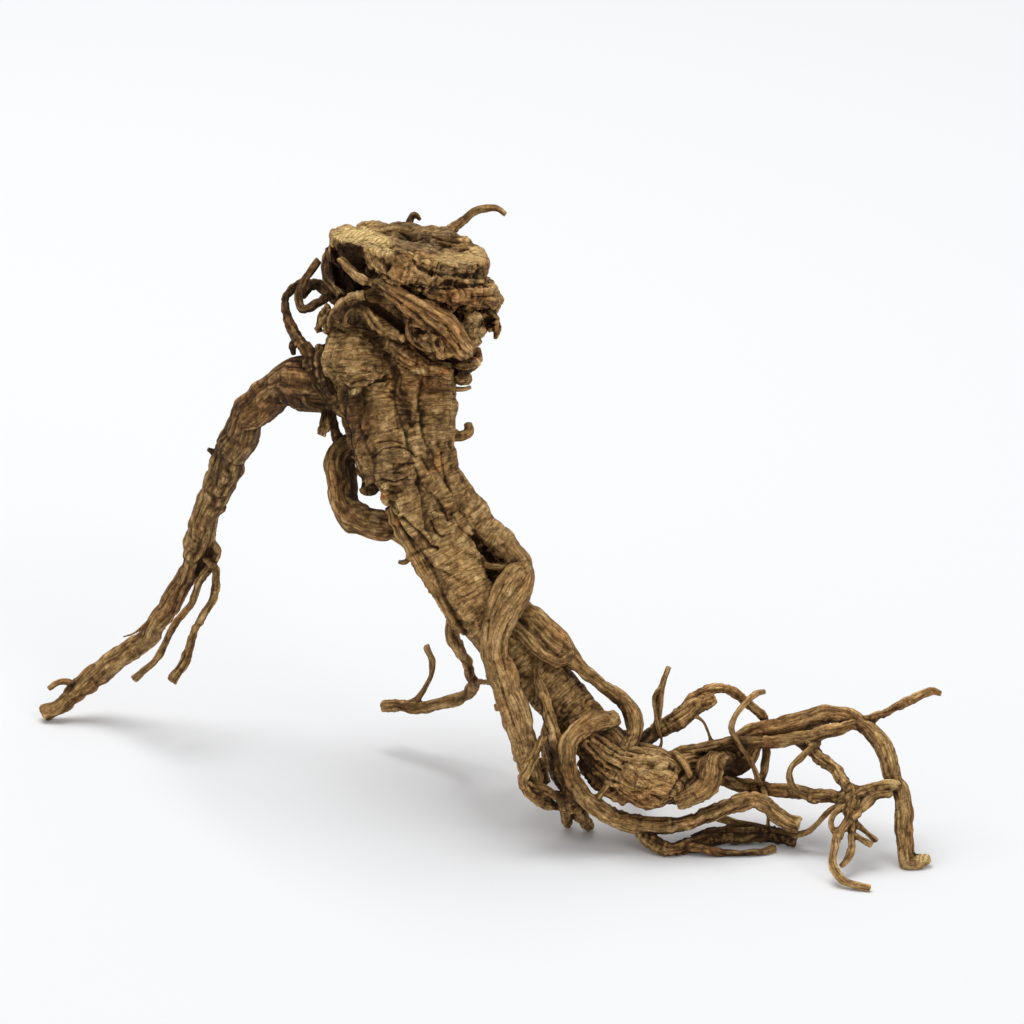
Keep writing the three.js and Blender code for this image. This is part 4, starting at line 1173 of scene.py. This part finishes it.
# %% Crossing root
CROSSING = [
    ("trunk", [
        (-14.5, 93, -3, 3), (-12, 87.5, -3, 3.8), (-7.8, 81.5, -2.5, 3.8), (-4.5, 78.3, -2.5, 3.7),
        (-2, 76, -2.5, 3.6),
    ]),
    ("smooth", [
        (-4.5, 78.3, -2.5, 3.6), (-2, 76, -2.5, 3.6), (2, 71, -4, 3.1), (2.2, 65.5, -7, 3.3),
        (-1.2, 60.5, -9.5, 3.8), (-4.2, 54.5, -10.5, 3.7), (-4, 47.5, -9.5, 3.6), (-1.7, 40.5, -8, 3.8),
        (1.2, 33.5, -7, 3.6), (3.2, 26.2, -6, 3.4), (4.7, 20, -5, 2.8), (7, 14.5, -3, 1.8),
        (11, 10.5, 0, 0.9),
    ]),
    ("smooth", [
        (1.8, 70, -6, 2.8), (-0.8, 66, -8.5, 3.7), (-2.8, 61.5, -9.8, 3.6), (-4.2, 57.5, -10.5, 3),
    ]),
    ("limb", [(-6.8, 71.3, -5, 0.8), (-4, 70.9, -5.5, 0.8), (-1.2, 70.7, -5.5, 0.9)]),
]
CROSSING_LINES = [
    (0.35, 0.4, [(2.5, 71.5), (0.5, 68), (-2.5, 63.5), (-4.5, 58)]),
    (0.3, 0.35, [(4, 69.5), (2.2, 65.5), (-0.5, 61.5), (-2, 57)]),
    (0.4, 0.5, [(-2, 66.5), (-4, 62.5), (-5.8, 58), (-6.2, 52)]),
    (0.5, 0.6, [(-0.5, 57.5), (-2, 53.5), (-2.4, 49), (-1.5, 45)]),
    (0.4, 0.5, [(-4.5, 47), (-3, 41.5), (-1.5, 37), (0.5, 31)]),
]
grow("crossing_root", CROSSING, 0.36, drawn=CROSSING_LINES)

# %% [markdown]
# # The side root
# The longest root leaves the shoulder on the left, arches out and comes down as a prop. It thins step by
# step, and a few rootlets hang off it. Its tip is broken and pale, so that end gets a little cut wood.

# %% Side root
def all_of(kind, lines):
    """Roots that all wear the same bark."""
    return [(kind, stations) for stations in lines]


SIDE_ROOT = all_of("limb", [
    [(-45, 116, 2, 6.6), (-52.2, 116.7, 2, 6.5), (-58.2, 116.2, 5, 5.8), (-66, 109.7, 13, 5),
     (-70.3, 102.8, 21, 4.7), (-75.1, 92.7, 31, 4.2), (-79.6, 85, 39, 4), (-81.6, 77.3, 46, 3.6),
     (-83.6, 72, 50, 3.1), (-87.3, 64.2, 56, 2.9), (-92.9, 56.3, 62, 2.8), (-96.3, 51, 66, 2.9),
     (-103.3, 46.5, 70, 3.2), (-109.7, 41.9, 74, 3.3), (-115.1, 37.6, 76, 2.8), (-120.4, 33.1, 76, 2.6),
     (-125, 30.6, 77, 2.4)],
    [(-81, 78.5, 47, 2), (-79.8, 74, 49, 2), (-81.5, 69, 51.5, 1.8)],
]) + all_of("rootlet", [
    [(-80.5, 79.5, 44, 1.1), (-78, 76, 46, 1.2), (-77.2, 73.4, 47, 1.2), (-79.1, 69.8, 48, 1.2),
     (-82, 66.1, 49, 1.2), (-83.4, 61.2, 51, 1.1), (-87.1, 56.2, 53, 1.1), (-91.2, 49.9, 55, 1.1),
     (-94.1, 45, 57, 1.2), (-99.5, 39.7, 60, 1.2)],
    [(-82, 73.5, 48, 1), (-79, 71.2, 47, 1.1), (-77.3, 67.7, 46, 1.3), (-77.7, 63.1, 47, 1.3),
     (-79.9, 58.1, 48, 1.4), (-82.7, 53.5, 49, 1.3), (-84.6, 48.3, 50, 1.4), (-88.7, 40.2, 52, 1.5)],
    [(-77.5, 88.5, 37, 2), (-74.8, 84.6, 38, 1.9)],
    [(-94.5, 57, 62, 0.6), (-99.2, 52.7, 62, 0.45), (-102.6, 51.6, 62, 0.35)],
    [(-114.5, 38, 75.5, 1), (-119, 39.5, 74, 0.9), (-123.7, 37.4, 75, 0.8)],
    [(-73.5, 98, 27, 1.2), (-78.3, 100.6, 25, 0.8)],
])
SIDE_CUT = [(-123.8, 31.2, 2, 2.2, 0.7), (-119, 32, 2.4, 2, 0.4)]
# painted shade where the side root is lit less, near the shoulder, and lighter towards its tip
SIDE_TONE_AND_SHADE = [
    (-60, 112, 26, 34, 0.22), (-50, 113, 8, 9, 0.10), (-88, 62, 24, 34, 0.08), (-118, 34, 9, 8, -0.08),
]
grow("side_root", SIDE_ROOT, 0.37, cut=SIDE_CUT, tones_and_shade=SIDE_TONE_AND_SHADE)

# %% [markdown]
# # Winding roots
# Roots that wind round the foot of the taproot are thick enough to cast shadows on it. They are laid out
# one by one, because their loops and the gaps between them make the outline of this corner.

# %% Winding roots
WINDING = all_of("rootlet", [
    [(-1, 64, -3, 2.5), (4.5, 58, -4, 3.8), (9, 53, -3, 4.3), (13.2, 49, -2, 3.5), (18.2, 44.7, -1, 2.2),
     (23.2, 40.7, -1, 2), (27.5, 37.2, -1, 2.2), (30.2, 33.2, -2, 2.3), (30.5, 28.7, -2, 2.2),
     (28.7, 24, -3, 2)],
    [(-0.5, 57, -6, 2), (4, 52.5, -6, 2.2), (8.2, 48.7, -6, 2), (12, 47.5, -5, 1.8),
     (14.5, 49.5, -4, 1.6)],
    [(6, 46.2, -5, 1.3), (7, 40, -6, 1.5), (9, 33, -7, 1.7), (11.2, 26.2, -7, 1.8), (13.2, 19.5, -6, 1.8),
     (14, 13.2, -4, 1.7), (15.2, 9.5, -1, 1.4)],
    [(26, 33.2, -4, 2), (22, 32.2, -7, 2.6), (17.7, 30.7, -8, 2.5), (14.7, 27.7, -9, 2.3),
     (13.7, 23.2, -9, 2.3), (14.7, 18.5, -8, 2.2), (18, 14.2, -6, 2.2), (23, 10.2, -4, 2.2),
     (29.5, 7, -3, 2.2), (36.2, 6, -3, 2.2), (43.5, 7, -3, 2.2), (50.7, 9.7, -3, 2.2), (57, 11.7, -3, 2.2),
     (62.5, 12, -3, 2), (66.2, 9.7, -3, 2), (69.5, 7.2, -3, 2.2), (71.7, 6.5, -3, 1.8)],
    [(25.5, 20, -7, 1.1), (23.5, 16.5, -6, 1), (21, 12.5, -5, 1)],
    [(14.5, 20, -2, 2.5), (16.2, 13.2, 2, 2.6), (17.2, 8.7, 6, 2), (19.5, 4.7, 11.6, 1.2)],
    [(7.5, 29, -9, 1.2), (5.2, 23, -10, 1.3), (3, 18.2, -9, 1.2), (4.2, 14.7, -7, 1.3),
     (7.7, 11.7, -4, 1.4), (11.2, 10.5, -1, 0.9)],
    [(3, 17.5, -8, 1.2), (7.5, 16.2, -7.5, 1.5), (11.2, 13.7, -5, 1.5), (13.2, 9.5, 1, 1.5),
     (14.5, 5.5, 12.8, 1.5)],
    [(6, 23, -3.5, 2), (8.5, 16.5, -2.5, 1.8)],
    [(9, 31, 0, 1.8), (11, 21.2, 0, 2), (12.7, 16.7, -1, 1.8), (15.5, 14, -1, 1.8)],
    [(-2.5, 37, -5, 1.8), (-2.2, 34.7, -5, 1.8)],
    [(41, 12.5, -5, 2.4), (46, 14.7, -7, 3), (48.7, 18.2, -7, 3.3), (49.6, 21.4, -5, 3.2),
     (52.5, 22.5, 2, 2.9), (55.7, 20.5, 6, 3.4)],
    [(40, 24.5, -5, 1), (42.7, 22, -8, 1), (44.7, 18.7, -8.5, 1)],
    [(40, 19.5, 2, 5), (46, 21, 4, 4.8), (52, 20.7, 6, 4.4), (57.5, 22.5, 6, 3.6), (61.5, 27.5, 6, 2.8)],
])
# painted shade under the upper runner and between the loops
WINDING_PAINTED_SHADE = [
    (48.5, 24.6, 5, 1.6, 0.72), (56, 20.5, 5, 3.4, 0.82), (10.5, 24, 1.6, 5, 0.74), (12, 13, 2, 3, 0.74),
]
WINDING_CUT = [(72, 6.8, 1.2, 1.8, 0.6), (25.5, 33, 1, 2, 0.35)]
# its tones are partly painted shade, under the runner, and partly the bark's own tone
grow("winding_roots", WINDING, 0.35, cut=WINDING_CUT, painted_shade=WINDING_PAINTED_SHADE, tones_and_shade=[
    (52, 2, 24, 8, 0.10), (10, 14, 9, 12, 0.10), (55, 20, 8, 5, 0.10),
])

# %% [markdown]
# # Upper and far roots
# Curls hang from the crown's left side, a thick loop leaves the taproot and comes back to it, and short
# twigs stand on the cut face. The roots on the far side are only glimpsed from the front. Two of them
# reach the ground behind the taproot and give it feet there; the others end above it.

# %% Upper roots
UPPER = all_of("crumbly", [
    [(-39, 102.5, 4, 3.5), (-43.5, 98, 4, 4), (-43.7, 92, 4, 4.1), (-42.2, 86.5, 4, 4.2),
     (-38, 82.5, 4, 4), (-32.2, 80.5, 4, 3.6), (-25, 78.7, 3, 3)],
]) + all_of("rootlet", [
    [(-27.5, 78, 3, 1.2), (-25.5, 74.5, 3, 1.1), (-26.5, 72, 3, 1), (-28.7, 72.2, 3, 0.8)],
    [(-41, 117, 0, 2), (-45, 113, 0, 1.8), (-47, 106.2, 0, 1.7), (-48, 103.2, 0, 1.3)],
    [(-44.5, 112, 2, 1.5), (-45.2, 107, 3, 1.4), (-43.7, 101.5, 4, 1.6)],
    [(-48.5, 148.2, -2, 0.9), (-50.5, 145.5, -2, 1.2), (-52.7, 142.2, -3, 1.2), (-54, 138.5, -4, 1.2),
     (-52.7, 135.2, -5, 1.2), (-49.2, 137.2, -5, 1.3), (-46, 139.2, -5, 1.3), (-42, 139.7, -5, 1.2)],
    [(-51.5, 143.5, -2, 1), (-55.5, 141.2, -1, 1.3), (-57.2, 137.7, -1, 1.3), (-56.5, 133.7, -2, 1.4),
     (-54.2, 129.5, -3, 1.6), (-51.7, 125, -4, 1.8), (-50, 120, -4, 1.8), (-47.5, 115, -3, 1.8),
     (-43.5, 111.2, -2, 1.8)],
    [(-53, 138.8, 2, 1.2), (-50, 141.7, 4, 1.5), (-47.2, 140.2, 4, 1.5), (-43, 137.5, 3, 1.8)],
    [(-52.5, 128, -3, 1.3), (-54.8, 126.7, -1, 1.2), (-55, 124, 0, 0.8)],
    [(-48, 126.2, -5, 1.8), (-47.5, 120, -5.5, 1.8), (-45, 113.7, -5, 1.8), (-40, 108.7, -4, 2.2)],
    [(-53, 114.5, -3, 1.2), (-51, 111.7, -2, 1.2), (-47, 110.5, -2, 1)],
    [(-18.5, 152, 5, 1.8), (-15.7, 155.4, 7, 1.5), (-13, 158.2, 8, 1.3), (-10.3, 160.2, 8, 1.1),
     (-6.7, 161.4, 8, 1.1), (-3.7, 161.6, 8, 1), (-1.2, 160.2, 8, 0.8)],
    [(-26.6, 155.5, 10, 1.6), (-25.9, 158.8, 10, 1), (-25, 160.6, 10, 0.8), (-24, 160.2, 10, 0.7),
     (-23.2, 158.8, 10, 0.5)],
    [(-38.8, 155.2, 6, 1.5), (-36.4, 157.6, 7, 1.3), (-33.8, 157.4, 8, 1.2), (-31.6, 155.6, 8, 1.2)],
    [(-16, 116, -6, 0.9), (-12.2, 115.2, -6, 0.7), (-10.2, 115.7, -6, 0.6)],
    [(-16.5, 105.5, -1, 1.5), (-13.5, 103.5, -1, 1.3), (-11.2, 104, -1, 1.2), (-11.2, 106.7, -1, 1)],
    [(-12, 90, -3, 0.9), (-8, 86.7, -2, 0.8), (-5, 82.7, -2, 0.7), (-2.2, 79, -3, 0.8),
     (0.5, 75.5, -3, 0.8)],
])
# the tones here are partly painted shade, on the curls and inside the loop, and partly the bark's own tone
grow("upper_roots", UPPER, 0.34, tones_and_shade=[
    (-52, 128, 14, 24, 0.34), (-38, 90, 10, 15, 0.22), (-25, 159, 3.4, 3.4, 0.44),
    (-8, 160, 9, 4, 0.12), (-44, 113, 7, 9, 0.10),
])

# %% Far roots
FAR = all_of("rootlet", [
    [(-13, 61, 3, 2.2), (-15, 53.5, 8, 2), (-12.6, 48.1, 16, 1.7), (-10.5, 43, 26, 1.5),
     (-10, 39.7, 34, 1.6), (-12.6, 36.7, 40, 1.7), (-17.3, 35, 45, 1.7), (-23.8, 33.8, 50, 1.7),
     (-29, 33.4, 54, 1.8), (-33.8, 33.2, 58, 1.9)],
    [(-28.5, 33.8, 53, 1), (-24.3, 36.3, 51, 1), (-21.7, 40.5, 50, 1), (-20.9, 44.9, 48, 1),
     (-22.2, 49.9, 46, 1)],
    [(-10, 40.3, 33, 0.8), (-6.3, 41.2, 20, 0.8), (-2.3, 40, 2, 0.9)],
    [(26, 26, 2, 2.4), (28, 27, 12, 2.2), (30, 24, 22, 2), (32, 18.5, 31, 1.8), (35, 15.6, 38, 1.6),
     (40, 17, 42.5, 1.2)],
    [(10, 38, 6, 2.4), (11, 36, 18, 2.2), (10, 31, 30, 2), (9, 24, 40, 1.8), (9, 18.4, 47, 1.6),
     (5, 19.6, 51.5, 1.2)],
    [(-4, 62, 5, 2.2), (-2, 55, 14, 1.8), (2, 47, 22, 1.5), (8, 40, 27, 1.3), (15, 35, 30, 1.1),
     (21, 33, 34, 0.8)],
])
# the far roots' tone is partly painted shade
grow("far_roots", FAR, 0.38, tones_and_shade=[(30, 30, 70, 40, 0.06)])

# %% [markdown]
# # The tangle
# The thinnest roots spread to the right and carry that end on a few feet. They are the same tubes as
# everywhere else, only slimmer. Some pass each other at different depths, but most of those that cross
# also touch, and the remesh joins them there.

# %% Tangle
TANGLE = all_of("rootlet", [
    [(52, 24, 5, 2.8), (57, 26.5, 5, 2.7), (63.2, 29.7, 5, 2.8), (72, 32, 4, 3), (79, 33.7, 2, 2.9),
     (85, 32.5, 0, 2.4), (90, 29.5, -3, 2.3), (93, 24.7, -5, 2.3), (95, 19, -7, 2.2),
     (97, 12.8, -8.5, 2.3), (97.5, 6.8, -10, 2.4), (97.1, 1.2, -10.2, 2.4), (97.8, -2.3, -9.6, 2.2),
     (100.8, -2.5, -9.3, 1.9), (103.8, -1.2, -9.5, 1.3)],
    [(42, 24, 1, 1.6), (52, 26.5, 0, 1.7), (62, 27, 0, 1.8), (72, 28, -1, 1.8), (82, 30.2, -2, 1.6),
     (89.5, 32.5, -2, 1.4), (95.7, 35.5, -2, 1.3), (100.7, 37.7, -3, 1.2), (104.7, 39.5, -3, 1.1),
     (107.2, 39, -3, 0.8)],
    [(50, 20, 7, 2.6), (55.7, 16.2, 6, 2.3), (63.2, 14.7, 4, 2), (72, 14.2, 0, 1.8), (80.7, 14, -6, 1.8),
     (85.2, 14, -10, 1.8)],
    [(71, 28, 2, 1.6), (77.5, 23, -1, 1.7), (82, 18.7, -6, 1.7), (85.2, 15, -10, 1.9)],
    [(77, 27, 0, 1.1), (72.2, 23.7, -4, 1), (69.5, 20.5, -6, 0.95), (69.5, 17, -6, 0.95),
     (71.2, 14.4, -3.5, 0.9), (74, 13.2, -2, 0.8)],
    [(84.7, 16.5, -10, 1.7), (84.6, 11.9, -11.5, 1.9), (82.7, 7.8, -13, 1.4), (80.2, 4, -15, 1.2),
     (79.3, 0, -17.5, 1.1), (79.4, -3.2, -19.5, 1.2), (81.2, -5.8, -20.6, 1.1), (84.6, -7, -21.8, 1),
     (88, -7.9, -22.6, 1)],
    [(84, 13.5, -11, 1.8), (89, 15.9, -10.5, 1.7), (93.4, 16.8, -10.5, 1.6), (95.4, 16.4, -9.5, 1.5)],
    [(94, 15.2, -10.5, 1.3), (89.6, 13.6, -11.5, 1.4), (84.6, 9.5, -12.5, 1.5)],
    [(84.6, 9.8, -11.8, 1.3), (84, 4.6, -13, 1), (84.2, 1.4, -14, 1), (82.9, -1.5, -15, 0.9),
     (81, -3.2, -16.5, 0.8)],
    [(84.2, 8, -12.5, 0.9), (87.5, 5.6, -12, 0.8), (90.4, 3.1, -12, 0.75)],
    [(83.6, 5.2, -13, 0.8), (86.7, 3.3, -13, 0.8), (89.2, 1.9, -13, 0.8)],
    [(84, 12.5, -11, 0.9), (79.7, 9.8, -11.5, 0.85), (79, 7.1, -12.5, 0.8), (80.4, 3.8, -15, 0.9)],
    [(30.5, 6, -2, 1.6), (34.5, 2.4, -2, 2), (40, 0.8, -3.2, 2.1), (47, 2, -0.5, 1.9), (55.7, 3, 2.5, 1.8),
     (63.2, 3, 2.5, 1.7), (71, 1.8, 0.5, 1.3)],
    [(45, 3, 0, 1.2), (55.7, 4.8, 2, 1.2), (64.5, 4.5, 2, 1.3), (71.2, 3.8, 1, 1.2)],
    [(42, 1.5, -3.2, 1), (51.5, -0.4, -3.4, 1.1), (59, -0.4, -3.2, 1), (66, 0.9, -1, 1)],
    [(48, 9, -1, 0.9), (55.7, 7, 2, 1), (63.2, 5.2, 2, 1), (69.5, 4, 0, 0.9), (73, 4.6, -2, 0.85),
     (76.5, 7, -5, 0.85), (79, 10.2, -8, 0.9), (83, 12.9, -10, 0.9)],
    [(64.2, 11.5, -2.5, 0.5), (64, 4.5, 2, 0.5)],
    [(39.2, 46, -3, 0.7), (38.2, 42, -2, 0.9), (37, 37.5, -1, 1), (36.2, 32.5, -1, 1),
     (35, 28.8, -0.5, 1.1), (31, 24.5, 0, 1.2)],
    [(38.2, 41.5, -2, 0.5), (35.7, 39, -2.5, 0.5), (35.5, 35.5, -2.5, 0.5), (36.5, 30, -2.5, 0.6),
     (37.2, 27, -2.5, 0.6), (35.8, 23, -3, 0.6)],
    [(30, 24, 2, 1.8), (35.7, 29.2, 3, 2.2), (41.5, 32.7, 3, 2.4), (47, 35.7, 3, 2.2), (51, 37.7, 2, 1.5)],
    [(43, 34, 4, 1.9), (48.2, 38.5, 5, 1.6), (52, 40, 5, 1.4), (55.7, 39.5, 5, 1.4), (59.5, 36.7, 6, 1.3),
     (63, 33.5, 7, 1.2), (64.7, 29.2, 8, 1.1), (64.2, 23, 6, 1.1), (62.2, 15.2, 4.5, 1.2)],
    [(44.5, 34, 2, 0.6), (48, 31.5, 1, 0.55), (50, 26.5, 1, 0.6)],
    [(63.5, 39.5, -1, 0.7), (61.2, 39, -2, 0.8), (58, 36.7, -3.5, 0.8), (55.5, 33.2, -4, 0.8),
     (55, 30, -3.5, 0.85), (57, 26.2, -2.5, 0.85), (59.5, 22.5, -3, 0.85), (61, 18.7, -3, 0.85),
     (62.5, 15.3, 2.5, 0.85), (64.2, 12.2, -2, 0.7)],
])
TANGLE_CUT = [(103.2, -1.8, 2.6, 1.8, 1.0), (71.6, 2.8, 0.8, 1.8, 0.5), (95.6, 16.4, 1, 1.6, 0.4)]
# partly painted shade, along the runner near the ground and between the roots, and partly the bark's own
# tone
TANGLE_TONE_AND_SHADE = [
    (52, 1.5, 22, 6, 0.30), (56, 25, 13, 6, 0.14), (33, 27, 6, 4, 0.16), (82, 10, 5, 6, 0.06),
    (38, 38, 5, 9, 0.06),
]
grow("tangle", TANGLE, 0.35, cut=TANGLE_CUT, tones_and_shade=TANGLE_TONE_AND_SHADE)

# %% [markdown]
# # Shade between the roots
# Where roots crowd together they shade each other, and the paint darkens the bark there as painted shade.
# This can only be told once every root is there: from each point a short and a long feeler stand out of the
# bark, and the nearer the end of a feeler comes to any root, the more sheltered the point is. That is added
# to the mark for shade and tone, and bark in the open gets a little painted light.

# %% Shelter
# each feeler adds painted shade where it is covered, and open bark gets painted light
FEELERS = ((2.0, 0.11), (6.0, 0.19))  # length in millimetres, and what it adds where it is covered
OPEN_BARK_LIGHT = 0.03  # bark in the open is this much lighter
EVERY = 3  # one place in three along each line is close enough here

every_line = [line for _, lines in GROWN for line in lines]
spots = np.concatenate([line["points"][::EVERY] for line in every_line]).astype(np.float32)
# a root ends flat, so the girth shrinks to nothing at its ends
girths = np.concatenate([
    np.minimum(line["girth"], np.minimum(line["run"], line["run"][-1] - line["run"]))[::EVERY]
    for line in every_line
])
for piece, _ in GROWN:
    mesh = piece.data
    points, normals = points_of(mesh), normals_of(mesh)
    shade_and_tone = np.empty(len(points), np.float32)
    mesh.attributes["shade_and_tone"].data.foreach_get("value", shade_and_tone)
    shelter_shade = np.full(len(points), -OPEN_BARK_LIGHT)
    for length, weight in FEELERS:
        away = nearest_bark((points + length * normals).astype(np.float32), spots, girths)[1]
        shelter_shade += weight * (1 - away / length).clip(0, 1)
    shelter_shade = averaged(shelter_shade[:, None], neighbours(mesh), 4)[:, 0]
    shade_and_tone = (shade_and_tone + shelter_shade).clip(0, 1).astype(np.float32)
    mesh.attributes["shade_and_tone"].data.foreach_set("value", shade_and_tone)
    print(piece.name, "is sheltered by", round(float(shelter_shade.mean()), 3), "on average")
